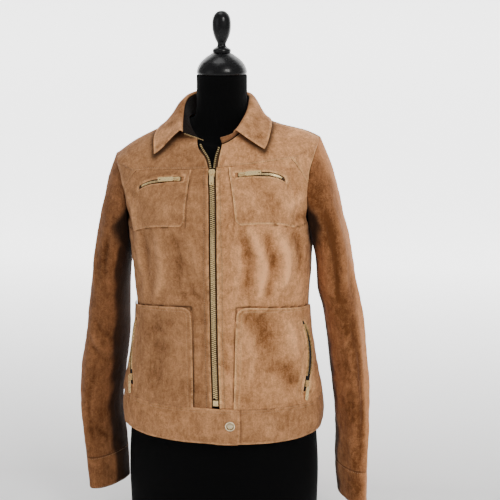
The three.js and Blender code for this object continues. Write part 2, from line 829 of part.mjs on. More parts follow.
function fallPoint(angle, k) {
  const { out, up, hub, edge } = collarSection(angle);
  const turned = (degrees) =>
    hub
      .clone()
      .addScaledVector(out, -FOLD_RADIUS * Math.cos(degrees * DEG))
      .addScaledVector(up, FOLD_RADIUS * Math.sin(degrees * DEG));
  if (k < FALL_TURN.length) return turned(FALL_TURN[k]);
  const last = FALL_TURN[FALL_TURN.length - 1] * DEG;
  const start = turned(last / DEG);
  const reach = start.distanceTo(edge);
  const leave = out.clone().multiplyScalar(Math.sin(last));
  leave.addScaledVector(up, Math.cos(last)).multiplyScalar(reach);
  const arrive = out.clone().multiplyScalar(LEAF_ARRIVE.out * reach);
  arrive.addScaledVector(up, LEAF_ARRIVE.up * reach);
  const t = (k - FALL_TURN.length + 1) / FALL_STEPS;
  const h = [
    2 * t ** 3 - 3 * t ** 2 + 1,
    t ** 3 - 2 * t ** 2 + t,
    -2 * t ** 3 + 3 * t ** 2,
    t ** 3 - t ** 2,
  ];
  return start
    .multiplyScalar(h[0])
    .addScaledVector(leave, h[1])
    .addScaledVector(edge, h[2])
    .addScaledVector(arrive, h[3]);
}

// A wall either side of a middle surface given as a grid of points
function wallAbout(grid, thick) {
  const rows = grid.length;
  const columns = grid[0].length;
  const normalAt = (i, j) => {
    const [i0, i1] = [Math.max(i - 1, 0), Math.min(i + 1, rows - 1)];
    const [j0, j1] = [Math.max(j - 1, 0), Math.min(j + 1, columns - 1)];
    const down = grid[i1][j].clone().sub(grid[i0][j]);
    const along = grid[i][j1].clone().sub(grid[i][j0]);
    return down.cross(along).normalize();
  };
  const side = (offset) =>
    grid.map((row, i) =>
      row.map((p, j) => p.clone().addScaledVector(normalAt(i, j), offset)),
    );
  return wall(side(thick / 2), side(-thick / 2));
}

function collarStand() {
  const angles = steps(COLLAR_ROWS.angle[0], -350, 24);
  const grid = [0, 0.5, 1].map((v) => angles.map((a) => standPoint(a, v)));
  return wallAbout(grid, COLLAR);
}

function collarFall() {
  const angles = steps(COLLAR_ROWS.angle[0], LEAF_END, 24);
  const rows = FALL_TURN.length + FALL_STEPS;
  const grid = counted(rows - 1).map((k) => angles.map((a) => fallPoint(a, k)));
  return wallAbout(grid, COLLAR);
}

// Sleeves
function armhole(theta, side) {
  const level =
    PIT_LEVEL + ((TIP_LEVEL - PIT_LEVEL) * (1 + Math.cos(theta))) / 2;
  const s = Math.sin(theta);
  const bow = s >= 0 ? -ARM_FRONT * s : -ARM_BACK * s;
  return { phi: side * (Math.PI / 2 + bow), level };
}

// theta is 0 at the top or outer edge and 90 degrees at the front
function sleevePoint(rows, side, theta, s) {
  const value = (column) => curve(rows, column, s);
  const flat = (outX, inX, outZ, inZ, y) =>
    new THREE.Vector3(
      side * mix(inX, outX, (1 + Math.cos(theta)) / 2),
      y,
      mix(inZ, outZ, (1 + Math.cos(theta)) / 2),
    );
  const y = (depth, centre, phase) =>
    centre - depth * Math.sin(theta + phase * DEG);
  const here = flat(
    value("outX"),
    value("inX"),
    value("outZ"),
    value("inZ"),
    y(value("depth"), value("centreY"), value("phase")),
  );
  const first = flat(
    rows.outX[0],
    rows.inX[0],
    rows.outZ[0],
    rows.inZ[0],
    y(rows.depth[0], rows.centreY[0], rows.phase[0]),
  );
  const hole = armhole(theta, side);
  const seat = lifted(hole.phi, hole.level, CROWN_LIFT).sub(first);
  const plain = here.addScaledVector(seat, 1 - smooth(s / ARM_BLEND));
  const { rows: drapes } = SLEEVE_DRAPES.find((d) => d.side === side);
  const height = folds(drapes, theta / DEG, s * SLEEVE_LENGTH, 1) * smooth(s / 0.1);
  const out = new THREE.Vector3(side * Math.cos(theta), -Math.sin(theta), 0);
  return plain.addScaledVector(out, height);
}

function tube(rows, side, stations, segments, thick) {
  const angles = steps(0, 2 * Math.PI, segments).slice(0, -1);
  const outer = stations.map((s) =>
    angles.map((theta) => sleevePoint(rows, side, theta, s)),
  );
  const inner = outer.map((ring) => {
    const centre = new THREE.Vector3();
    ring.forEach((p) => centre.addScaledVector(p, 1 / ring.length));
    return ring.map((p, k) => {
      const before = ring[(k + ring.length - 1) % ring.length];
      const after = ring[(k + 1) % ring.length];
      const along = after.clone().sub(before).normalize();
      const inward = centre.clone().sub(p);
      inward.addScaledVector(along, -inward.dot(along)).normalize();
      return p.clone().addScaledVector(inward, thick);
    });
  });
  return wall(outer, inner, { wrap: true });
}

const SLEEVE_STATIONS = [
  0,
  0.03,
  0.07,
  0.12,
  0.19,
  0.27,
  0.36,
  0.44,
  0.49,
  0.515,
  0.54,
  0.56,
  0.58,
  0.6,
  0.62,
  0.65,
  0.7,
  0.78,
  0.85,
  CUFF_AT - 0.0003,
];
const CUFF_STATIONS = [CUFF_AT + 0.0003, 0.96, 1];

// Form: the jacket's own shape drawn in, with hips below and a neck above
function formRings() {
  const angles = steps(0, 2 * Math.PI, 32).slice(0, -1);
  const hips = [0, 60, 130, 200, 250].map((z) =>
    angles.map((phi) => {
      const depth = curve(HIPS, Math.cos(phi) >= 0 ? "front" : "back", z);
      const r = radiusAt(phi, curve(HIPS, "width", z), depth, 2.2);
      return new THREE.Vector3(r * Math.sin(phi) + 1, -r * Math.cos(phi), z);
    }),
  );
  const drawnIn = (phi, level) => {
    const side = Math.sin(phi) ** 6;
    const ease = (column) => curve(EASE, column, level);
    const room = FRONT_ROOM * Math.max(Math.cos(phi), 0) ** 2;
    return lifted(phi, level, -mix(ease("gap"), ease("side"), side) - room);
  };
  const levels = [300, 345, 395, 450, 505, PIT_LEVEL, 605, 655, 690, 715, 735];
  const trunk = [...levels, ...SHOULDER_LEVELS.slice(-4)].map((level) =>
    angles.map((phi) => drawnIn(phi, level)),
  );
  const column = (phi, z) => {
    const { radius, shift } = NECK_FOOT;
    const r = z > NECK_FOOT.z ? NECK_RADIUS : radius;
    return new THREE.Vector3(r * Math.sin(phi) + shift, -r * Math.cos(phi), z);
  };
  // A hollow curve from the neckline in and up to the neck
  const fillet = [0.35, 0.7].map((f) =>
    angles.map((phi) => {
      const low = drawnIn(phi, NECK_LEVEL);
      const high = column(phi, NECK_FOOT.z);
      const point = low.clone().lerp(high, 1 - (1 - f) ** 2);
      point.z = mix(low.z, high.z, f * f);
      return point;
    }),
  );
  const neck = [NECK_FOOT.z, 840, NECK_TOP].map((z) =>
    angles.map((phi) => column(phi, z)),
  );
  return [...hips, ...trunk, ...fillet, ...neck];
}

// Turned cap and finial of the form, as radius and height
const CAP_PROFILE = [
  [0, 0.3],
  [42, 0.3],
  [44.8, 2.6],
  [45, 6],
  [42, 15],
  [35, 25],
  [24, 34],
  [17, 38],
  [0, 38],
];
const FINIAL_PROFILE = [
  [0, 38.3],
  [15.5, 38.3],
  [16.5, 42],
  [14.5, 46],
  [8.5, 49],
  [7.5, 53],
  [9.5, 58],
  [14.5, 70],
  [16.8, 84],
  [16, 97],
  [11.5, 107],
  [5, 111],
  [0, 112],
];

function turned(profile) {
  const points = profile.map(([r, h]) => new THREE.Vector2(r, h));
  const geometry = new THREE.LatheGeometry(points, 24);
  geometry.rotateX(Math.PI / 2);
  geometry.translate(1.5, 0, NECK_TOP);
  return geometry;
}

// Zips: how far each part's face lies off the cloth's outer surface, and how thick it is
const TAPE = { lift: -SUEDE - LAP, thick: 0.8 };
const CHAIN = { lift: -0.9, thick: 2.4 };
const OPEN_ROW = { lift: -0.6, thick: 2.4, half: 1.6 };
const CHEST_CHAIN = { lift: LAP + 1.8, thick: 1.8, from: 34.5, to: 55, half: 2.6 };
const MOUTH_ROW = { lift: LINING_LIFT + SEAM + 1.6, thick: 1.6, from: 0.6, to: 2.2 };

// A strip on the body between two angles, row by row
function stripOn(levels, from, to, { lift, thick }) {
  const place = (i, j) => ({
    phi: mix(from(levels[i]), to(levels[i]), j),
    level: levels[i],
  });
  return clothOn(levels.length - 1, 1, place, lift, thick);
}

const ZIP_TOP = SLIDER_LEVEL - 9.5;
const ZIP_LEVELS = [301, ...PANEL_LEVELS.slice(1), PIT_LEVEL, 590, 625, 668, 710];
const OPEN_LEVELS = [SLIDER_LEVEL + 9.5, 770, 781, 790, 798, NECK_LEVEL];

// The tape follows the closed chain, then runs beside the open row under the V's edge
function frontTape(side) {
  const row = side < 0 ? "rowRight" : "rowLeft";
  const leather = side < 0 ? "edgeRight" : "edgeLeft";
  const edge = (closed, column, free) => (level) => {
    if (level <= SLIDER_LEVEL) return centreAt(level) + side * across(level, closed);
    return curve(OPENING, column, level) * DEG + side * across(level, free);
  };
  const inner = edge(CHAIN_HALF + SEAM, row, OPEN_ROW.half + SEAM);
  const outer = edge(TAPE_HALF, leather, TAPE_HALF - ZIP_RECESS);
  const levels = [BAND_LEVEL + 2, ...ZIP_LEVELS, ZIP_TOP, SLIDER_LEVEL];
  return stripOn([...levels, ...OPEN_LEVELS.slice(0, -1)], inner, outer, TAPE);
}

function frontChain() {
  const edge = (mm) => (level) => centreAt(level) + across(level, mm);
  const levels = [...ZIP_LEVELS, ZIP_TOP];
  return stripOn(levels, edge(-CHAIN_HALF), edge(CHAIN_HALF), CHAIN);
}

// One side's teeth above the slider, along the edge of the V
function openRow(side) {
  const name = side < 0 ? "rowRight" : "rowLeft";
  const edge = (mm) => (level) =>
    curve(OPENING, name, level) * DEG + across(level, mm);
  return stripOn(OPEN_LEVELS, edge(-OPEN_ROW.half), edge(OPEN_ROW.half), OPEN_ROW);
}

// Teeth along a chest zip, from the slider outwards
function chestChain(side) {
  const { from, to, half, lift, thick } = CHEST_CHAIN;
  const rows = 8;
  const place = (i, j) => {
    const phi = mix(from, to, i / rows);
    const zip = curve(CHEST_ZIP, "level", phi);
    const reach = upward(phi * DEG, zip, half);
    return { phi: side * phi * DEG, level: zip + mix(-reach, reach, j) };
  };
  return clothOn(rows, 1, place, lift, thick);
}

// Teeth along one edge of a lower pocket's open mouth
function mouthRow(side, way) {
  const levels = MOUTH_LEVELS.filter((l) => l > MOUTH_BOTTOM);
  levels[0] += 8;
  levels[levels.length - 1] -= 6;
  const edge = (mm) => (level) => {
    const phi = mouthEdge(level, way) * DEG;
    return side * (phi - (way * mm) / sideRadius(level));
  };
  return stripOn(levels, edge(MOUTH_ROW.from), edge(MOUTH_ROW.to), MOUTH_ROW);
}

// Turns a mesh drawn flat, x across, y along and z out of the cloth, onto the body
function seated(mesh, origin, along, out) {
  const side = new THREE.Vector3().crossVectors(along, out).normalize();
  const frame = new THREE.Matrix4().makeBasis(side, along, out);
  mesh.quaternion.setFromRotationMatrix(frame);
  mesh.position.copy(origin);
}

function plate(outline, holes, low, high) {
  const shape = new THREE.Shape(outline.map(([x, y]) => new THREE.Vector2(x, y)));
  for (const hole of holes) {
    shape.holes.push(new THREE.Path(hole.map(([x, y]) => new THREE.Vector2(x, y))));
  }
  const geometry = new THREE.ExtrudeGeometry(shape, {
    depth: high - low,
    bevelEnabled: false,
  });
  return geometry.translate(0, 0, low);
}

// Slider: a tapered body with a bridge that the tab's bar turns under
function sliderShape(size) {
  const { length, width, height } = size;
  const [l, w] = [length / 2, width / 2];
  const outline = [
    [-w * 0.72, -l],
    [w * 0.72, -l],
    [w * 0.8, -l * 0.3],
    [w, l * 0.45],
    [w * 0.7, l],
    [-w * 0.7, l],
    [-w, l * 0.45],
    [-w * 0.8, -l * 0.3],
  ];
  const base = plate(outline, [], 0, height);
  const { inside, outside, room, top } = BRIDGE;
  const arch = [
    [-outside, height - 0.4],
    [-outside, height + room * 0.7],
    [-inside, height + room + top],
    [inside, height + room + top],
    [outside, height + room * 0.7],
    [outside, height - 0.4],
    [inside, height - 0.4],
    [inside, height + room],
    [-inside, height + room],
    [-inside, height - 0.4],
  ];
  const bridge = plate(arch, [], -BRIDGE.width / 2, BRIDGE.width / 2);
  bridge.applyMatrix4(
    new THREE.Matrix4().makeBasis(
      new THREE.Vector3(0, 1, 0),
      new THREE.Vector3(0, 0, 1),
      new THREE.Vector3(1, 0, 0),
    ),
  );
  return joined(base, bridge);
}

// Pull tab, drawn from its bar at the origin and running along -y
function tabShape(length, width) {
  const w = width / 2;
  const { bar, eye, eyeHalf, hole, thick } = TAB;
  const outline = [
    [-2.9, bar],
    [-2.9, -eye - 1],
    [-w, -eye - 3],
    [-w, -length + 2],
    [-w + 1.6, -length],
    [w - 1.6, -length],
    [w, -length + 2],
    [w, -eye - 3],
    [2.9, -eye - 1],
    [2.9, bar],
  ];
  const slot = [
    [-eyeHalf, -bar],
    [eyeHalf, -bar],
    [eyeHalf, -eye],
    [-eyeHalf, -eye],
  ];
  const ring = steps(0, 2 * Math.PI, 8)
    .slice(0, -1)
    .map((a) => [hole * Math.cos(a), hole * Math.sin(a) - length + 3.6]);
  return plate(outline, [slot, ring], -thick / 2, thick / 2);
}

// A slider and its tab at a place on the body. Toward is the place that the tab points at.
const TAB_WIDTH = 7.8;

function sliderAt({ name, at, toward, lift, size, tab }) {
  const origin = lifted(at.phi, at.level, lift);
  const aim = lifted(toward.phi, toward.level, lift).sub(origin);
  const out = bodyNormal(at.phi, at.level);
  const along = aim.addScaledVector(out, -aim.dot(out)).normalize().negate();
  const slider = add(`slider_${name}`, sliderShape(size), BRASS_LOOK());
  seated(slider, origin, along, out);
  const height = size.height + BRIDGE.room / 2;
  const pivot = origin.clone().addScaledVector(out, height);
  const pull = add(`pull_${name}`, tabShape(tab, TAB_WIDTH), BRASS_LOOK());
  seated(pull, pivot, along, out);
}

// Form
add("form_torso", skin(formRings()), JERSEY_LOOK());
add("form_neck_cap", turned(CAP_PROFILE), LACQUER_LOOK());
add("form_finial", turned(FINIAL_PROFILE), LACQUER_LOOK());

// Shell
const SIDES = [
  ["right", -1, SLEEVE_RIGHT],
  ["left", 1, SLEEVE_LEFT],
];
for (const [name, side, rows] of SIDES) {
  add(`front_${name}`, front(side), SUEDE_LOOK());
  add(`yoke_front_${name}`, yokeFront(side), SUEDE_LOOK());
  add(
    `sleeve_${name}`,
    tube(rows, side, SLEEVE_STATIONS, SLEEVE_SIDES, SUEDE),
    SUEDE_LOOK(),
  );
  add(
    `cuff_${name}`,
    tube(rows, side, CUFF_STATIONS, SLEEVE_SIDES, SUEDE),
    SUEDE_LOOK(),
  );
  add(`chest_pocket_${name}`, chestPocket(side), SUEDE_LOOK());
  add(`lower_pocket_${name}`, lowerPocket(side), SUEDE_LOOK());
  add(`pocket_lining_${name}`, pocketLining(side), LINING_LOOK());
  add(`front_tape_${name}`, frontTape(side), TAPE_LOOK());
  add(`zip_row_${name}`, openRow(side), BRASS_LOOK());
}
add("back_panel", back(), SUEDE_LOOK());
add("waistband_right", bandFrontRight(), SUEDE_LOOK());
add("waistband_left", bandBetween(LEFT_START, Math.PI / 2, 9), SUEDE_LOOK());
add("waistband_back", bandBetween(Math.PI / 2, 1.5 * Math.PI, 18), SUEDE_LOOK());
add("collar_stand", collarStand(), SUEDE_LOOK());
add("collar_fall", collarFall(), SUEDE_LOOK());

// Zips: at and toward are places on the body, lift is the slider's foot and tab its length
const spot = (phi, level) => ({ phi: phi * DEG, level });
const ZIPS = [
  {
    name: "front",
    at: spot(2.4, SLIDER_LEVEL),
    toward: spot(2.4, SLIDER_LEVEL - 20),
    lift: TAPE.lift + 0.4,
    size: { length: 13.5, width: 12, height: 4.2 },
    tab: 23,
  },
];
for (const [name, side] of SIDES) {
  add(`chest_chain_${name}`, chestChain(side), BRASS_LOOK());
  add(`mouth_row_inner_${name}`, mouthRow(side, -1), BRASS_LOOK());
  add(`mouth_row_outer_${name}`, mouthRow(side, 1), BRASS_LOOK());
  ZIPS.push(
    {
      name: `chest_${name}`,
      at: spot(side * 30.5, curve(CHEST_ZIP, "level", 30.5)),
      toward: spot(side * 37, curve(CHEST_ZIP, "level", 37)),
      lift: LAP,
      size: { length: 11.5, width: 7.8, height: 3 },
      tab: 34,
    },
    {
      name: `pocket_${name}`,
      at: spot(side * curve(LOWER_ZIP, "phi", 316), 316),
      toward: spot(side * curve(LOWER_ZIP, "phi", 298), 298),
      lift: LINING_LIFT + SEAM,
      size: { length: 12, width: 8.6, height: 3.2 },
      tab: 30,
    },
  );
}
add("front_chain", frontChain(), BRASS_LOOK());
for (const zip of ZIPS) sliderAt(zip);

// The upward direction square to a face's normal
function uprightOn(out) {
  const up = new THREE.Vector3(0, 0, 1);
  return up.addScaledVector(out, -up.dot(out)).normalize();
}

// Stop box at the foot of the front zip
const BOX = { level: 293, width: 9.5, length: 10, lift: -2.2, height: 2.4 };
const boxPhi = centreAt(BOX.level);
const boxOut = bodyNormal(boxPhi, BOX.level);
const boxAt = lifted(boxPhi, BOX.level, BOX.lift + BOX.height / 2);
const box = new THREE.BoxGeometry(BOX.width, BOX.length, BOX.height);
seated(add("front_zip_box", box, BRASS_LOOK()), boxAt, uprightOn(boxOut), boxOut);

// Snap on the waistband tab, a domed cap in a raised rim
const snapPoints = [
  [0, 0],
  [SNAP.radius, 0],
  [SNAP.radius, 1.4],
  [8.2, 2.2],
  [6.8, 1.7],
  [3.6, 2.3],
  [0, 2.6],
].map(([r, h]) => new THREE.Vector2(r, h));
const snap = new THREE.LatheGeometry(snapPoints, 16).rotateX(Math.PI / 2);
const snapOut = bodyNormal(SNAP.phi, SNAP.level);
const snapAt = lifted(SNAP.phi, SNAP.level, SNAP.lift);
seated(add("snap", snap, SNAP_LOOK()), snapAt, uprightOn(snapOut), snapOut);

export default jacket;
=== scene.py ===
"""A suede zip jacket on a dress form: the finish of every surface, as a Blender add-on.

The front faces -Y and +X is the wearer's left. Shapes are worked out in millimetres and put
into their meshes in metres. "Level" names a height on the jacket measured at its side, and phi
is the angle round the body, 0 at the front. "Right" is the wearer's right.
"""

import math

import bpy
import numpy as np
from mathutils import Matrix, Vector


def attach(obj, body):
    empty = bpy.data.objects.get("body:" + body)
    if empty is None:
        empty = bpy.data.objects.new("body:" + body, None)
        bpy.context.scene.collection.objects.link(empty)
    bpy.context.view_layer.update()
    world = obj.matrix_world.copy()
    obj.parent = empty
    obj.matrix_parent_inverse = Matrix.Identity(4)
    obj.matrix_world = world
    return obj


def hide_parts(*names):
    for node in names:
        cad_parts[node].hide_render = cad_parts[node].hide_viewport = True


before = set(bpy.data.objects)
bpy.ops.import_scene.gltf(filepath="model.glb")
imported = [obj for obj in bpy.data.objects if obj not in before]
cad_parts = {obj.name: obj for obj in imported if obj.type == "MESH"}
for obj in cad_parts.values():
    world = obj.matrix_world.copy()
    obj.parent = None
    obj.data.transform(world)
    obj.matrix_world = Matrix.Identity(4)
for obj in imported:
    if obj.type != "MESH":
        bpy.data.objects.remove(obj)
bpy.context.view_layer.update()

bl_info = {
    "name": "Suede zip jacket",
    "version": (1, 0, 0),
    "blender": (4, 5, 0),
    "location": "3D View > Sidebar > Jacket",
    "description": "Builds the finish of a suede zip jacket on a dress form",
    "category": "Object",
}

MM = 0.001
BODY = "jacket_on_form"
SIDES = {"right": -1, "left": 1}

# Sizes shared with the solids, in millimetres
SUEDE = 2.0
PATCH = 1.5
BAND = 2.4
COLLAR = 1.6
SEAM = 0.3
LAP = 0.6
LINING = 0.7
LINING_LIFT = LAP + LINING + 0.25
LOWER_LIFT = LINING_LIFT + 0.5 + PATCH
HEM, BAND_LEVEL, PIT, TIP, NECK = 214.0, 283.0, 562.0, 746.0, 808.0
BAND_BOTTOM, BAND_TOP = HEM, BAND_LEVEL - SEAM / 2
ARM_FRONT, ARM_BACK = math.radians(19), math.radians(17)
ZIP_RECESS = 7.0
CHAIN_HALF = 3.8
TAPE_HALF = 14.0
SLIDER_LEVEL = 751.0
YOKE_LEVEL = PIT + (TIP - PIT) * (1 + math.cos(math.pi * 0.4)) / 2
NECK_TOP, NECK_X = 870.0, 1.5

# Lengths used by the finish alone, in millimetres
ARC = 140.0  # round the body for one radian
ARC_DEGREE = ARC / 57.3  # and for one degree
DEGREE = 2.1  # round the front for one degree, beside the pockets
BAND_ARC, TAB_ARC = 150.0, 122.0  # for one radian of the waistband, and of its tab's end
SLEEVE_LONG = 650.0
FRONT_WIDE, YOKE_WIDE, BACK_WIDE = 186.0, 175.0, 420.0
FAR = 99.0  # stands for a distance that nothing reaches

# Rows of topstitching, in millimetres from the edge
FRONT_ROWS = (2.6, 9.6)
BAND_ROWS = (2.4, 7.5)
CHEST_ROWS, LOWER_ROWS = (2.0,), (2.0, 8.0)
HEM_ROW = 2.4
LEAF_ROW = 3.2
GROOVE_WIDE = 1.3
ROW_LINES = (1.6, 3.2, 6.2, 7.6, 9.0)  # the lines that a pocket's grid has for its rows


# ---- tables -------------------------------------------------------------------------------


def table(names, rows):
    """Named columns over plain rows. The first column is also called at."""
    columns = {n: np.array([r[k] for r in rows], float) for k, n in enumerate(names.split())}
    columns["at"] = columns[names.split()[0]]
    return columns


RINGS = table(
    "level width front back zFront zSide zBack square shift lean",
    [
        (214, 189, 120, 126, 214, 220, 220, 2.25, 1, 0),
        (250, 192, 123, 128, 250, 252, 252, 2.25, 1, 0),
        (283, 187, 122, 124, 283, 284, 284, 2.25, 1, 0),
        (335, 176, 118, 114, 335, 335, 335, 2.25, 1, 0.003),
        (373, 169, 115, 106, 373, 373, 373, 2.25, 1, 0.007),
        (450, 161, 112, 96, 450, 450, 450, 2.25, 1, 0.014),
        (510, 164, 117, 100, 509, 510, 510, 2.3, 1, 0.024),
        (562, 167, 123, 105, 559, 562, 562, 2.4, 0, 0.034),
        (610, 171, 126, 109, 603, 611, 612, 2.4, -1, 0.046),
        (660, 176, 121, 112, 643, 660, 658, 2.4, -3, 0.06),
        (705, 181, 110, 111, 674, 704, 700, 2.4, -5, 0.075),
        (746, 186, 97, 104, 702, 744, 736, 2.4, -7, 0.088),
        (770, 150, 87, 94, 722, 763, 760, 2.3, -6, 0.07),
        (790, 107, 80, 82, 738, 779, 779, 2.2, -4, 0.04),
        (808, 60, 74, 66, 752, 797, 798, 2.0, -1, 0.03),
    ],
)
CENTRE = table(
    "level phi",
    [(214, 2), (283, 1.9), (391, 0.2), (484, -0.2), (580, 1.1), (631, 1.9), (688, 2.4), (753, 2.4)],
)
OPENING = table(
    "level edgeRight rowRight rowLeft edgeLeft",
    [
        (753, -1.8, 0.6, 4.2, 6.6),
        (762, -2.8, 0.3, 4.4, 8),
        (774, -5.6, -1.8, 4.6, 8.6),
        (786, -10.4, -6, 5.2, 9.2),
        (797, -19, -13, 6.2, 9.6),
        (808, -28, -22.5, 6.8, 10),
    ],
)
YOKE = table(
    "phi level",
    [(0, 762), (20, 761), (37, 757), (48, 750), (56, 737), (63, 714), (71.5, 682.4)],
)
COLLAR_ROWS = table(
    "angle rollX rollY rollZ edgeX edgeY",
    [
        (-26, -58.6, -68, 777, -110, -65),
        (-55, -63, -38, 796, -115, -34),
        (-90, -65, 2, 822, -106, 2),
        (-135, -51, 44, 835, -78, 62),
        (-180, -6, 62, 839, -4, 96),
        (-225, 38, 46, 835, 62, 66),
        (-270, 49.5, 6, 825, 88, 4),
        (-305, 45, -33, 800, 93, -36),
        (-330, 31, -71, 778, 85, -69),
        (-350, 9, -76, 770, 60, -80),
    ],
)
STAND_END, LEAF_END = -350.0, -329.0
LEAF = 62.0  # from the collar's inner edge to its leaf's edge, over the fold
FOLD_RADIUS = 4.0
COLLAR_INSET = 3.4
COLLAR_RISE = 1.6
LEAF_LIFT = 3.4
SLEEVES = {
    "right": table(
        "s outX outZ inX inZ centreY depth phase",
        [
            (0, 192, 731, 168, 560, 2, 54, 0),
            (0.06, 207, 692, 171, 547, 4, 60, 0),
            (0.12, 216, 658, 173, 532, 6, 64, 0),
            (0.2, 225, 612, 177, 506, 9, 66, 2),
            (0.3, 238, 550, 181, 472, 13, 65, 5),
            (0.42, 249, 474, 184, 430, 18, 62, 10),
            (0.55, 261, 391, 187, 373, 22, 59, 16),
            (0.68, 270, 305, 197, 298, 20, 56, 22),
            (0.8, 269, 232, 204, 230, 12, 54, 28),
            (0.91, 261, 150, 195, 150, 0, 51, 36),
            (1, 252, 88, 190, 84, -12, 49, 42),
        ],
    ),
    "left": table(
        "s outX outZ inX inZ centreY depth phase",
        [
            (0, 180, 761, 168, 570, 2, 54, 0),
            (0.06, 196, 722, 171, 556, 4, 60, 0),
            (0.12, 208, 686, 173, 540, 6, 64, 0),
            (0.2, 221, 632, 175, 512, 8, 66, 2),
            (0.3, 237, 562, 177, 480, 10, 65, 5),
            (0.42, 251, 482, 187, 440, 12, 61, 10),
            (0.55, 263, 400, 195, 382, 12, 58, 16),
            (0.68, 272, 312, 204, 304, 8, 55, 22),
            (0.8, 276, 232, 213, 232, 0, 52, 28),
            (0.91, 277, 152, 214, 152, -10, 50, 36),
            (1, 278, 86, 220, 84, -20, 48, 42),
        ],
    ),
}
CUFF_AT = 0.915
CUFF_GAP = 0.0003  # half the gap at the cuff's seam, as a share of the sleeve
ARM_BLEND = 0.14
CHEST_BOTTOM = table("phi level", [(16, 630), (24, 629), (40, 627), (48, 622), (60, 608)])
CHEST_ZIP = table(
    "phi level", [(26, 741), (35, 740), (44, 734), (50, 727), (54, 717), (57, 705)]
)
CHEST = {"inner": 20.0, "outer": 60.0, "corner": 11.0, "zip_half": 4.4, "width": 88.0, "depth": 80.0}
CHEST_ROOM = 9.0  # rows that the zip's slot takes above the depth, and the cloth above the slot
CHEST_SLOT = (11.0, 80.0)
LOWER = {"outer": 88.0, "corner": 15.0, "top": 469.0}
LOWER_KEYS = (0.0, 98.0, 106.0, 132.0)  # inner edge, mouth's two edges, outer edge
LOWER_INNER = table("level phi", [(284, 17), (370, 18.5), (470, 20.5)])
LOWER_TOP = table("phi level", [(18, 469), (35, 468), (55, 463), (72, 456), (90, 450)])
LOWER_ZIP = table(
    "level phi", [(296, 66.5), (318, 69.5), (345, 74.5), (370, 77.5), (396, 77.5), (432, 72.5)]
)
LINING_SIDES, LINING_TOP = (80.0, 119.0), 450.0
MOUTH = table(
    "level half", [(304, 2), (322, 2.1), (350, 2.7), (376, 2.9), (404, 2.2), (430, 0.8)]
)
MOUTH_BOTTOM, MOUTH_TOP = 304.0, 430.0
LAP_START, LAP_FULL, LEFT_START, TAB_END = (math.radians(a) for a in (-3, 5, 6.5, 21.5))
SNAP = {"phi": math.radians(13.9), "level": 252.0, "lift": 3.1}

# Folds of the body: a soft ridge (or valley, where high is below 0) from one place to another
FOLDS = table(
    "phi1 level1 phi2 level2 width high",
    [
        # under the left chest pocket
        (31, 612, 37, 490, 8, 8.5),
        (40, 608, 44, 490, 7, -5.5),
        (48, 606, 55, 500, 8, 8.5),
        (24, 612, 27, 500, 9, -4.5),
        (18, 600, 20, 490, 7, 2.4),
        (59, 606, 68, 520, 9, -4.0),
        (36, 560, 50, 474, 7, 3.0),
        # on the left chest pocket
        (31, 700, 36, 640, 7, 2.2),
        (41, 704, 47, 630, 6, -1.8),
        (50, 690, 55, 625, 7, 2.0),
        # from the left armhole
        (52, 640, 68, 664, 8, 3.0),
        (60, 625, 78, 610, 9, -4.0),
        # right front
        (-70, 700, -56, 585, 7, 4.5),
        (-76, 650, -62, 560, 7, -4.5),
        (-34, 680, -40, 640, 9, 2.2),
        (-40, 606, -50, 480, 8, 6.5),
        (-52, 606, -62, 500, 8, -4.0),
        (-20, 616, -13, 540, 8, 3.2),
        (-28, 606, -32, 500, 9, -3.5),
        (-64, 600, -61, 476, 8, 5.0),
        # left lower pocket
        (36, 455, 46, 365, 17, -5.0),
        (46, 365, 62, 318, 14, -5.0),
        (58, 440, 62, 365, 13, 4.5),
        (24, 440, 30, 330, 10, 3.0),
        (9, 410, 16, 380, 5, 2.6),
        (7, 372, 14, 340, 5, -2.4),
        (10, 350, 16, 318, 5, 2.4),
        # right lower pocket and waist
        (-30, 450, -36, 340, 18, 2.2),
        (-52, 440, -48, 330, 15, -2.4),
        (-12, 470, -14, 330, 6, -1.8),
        # yokes, by the collar
        (14, 790, 11, 766, 5, -3.6),
        (20, 782, 16, 764, 6, 3.0),
        (-22, 786, -14, 766, 6, 3.0),
        (-30, 782, -22, 764, 6, -2.6),
        # waistband
        (-20, 277, -14, 225, 5, -1.6),
        (-9, 270, -5, 222, 4, 1.4),
        (40, 275, 44, 222, 9, 1.6),
        (60, 262, 64, 224, 8, -1.6),
        (-44, 270, -48, 222, 9, 1.4),
        # back
        (150, 690, 165, 560, 18, 3.5),
        (205, 690, 195, 560, 18, 3.5),
        (178, 660, 180, 470, 16, -3.0),
        (120, 640, 140, 520, 12, -4.0),
        (240, 640, 222, 520, 12, -4.0),
        (130, 470, 165, 430, 10, 3.5),
        (232, 470, 196, 432, 10, 3.5),
        (140, 420, 175, 395, 9, -3.0),
        (222, 420, 188, 398, 9, -3.0),
    ],
)
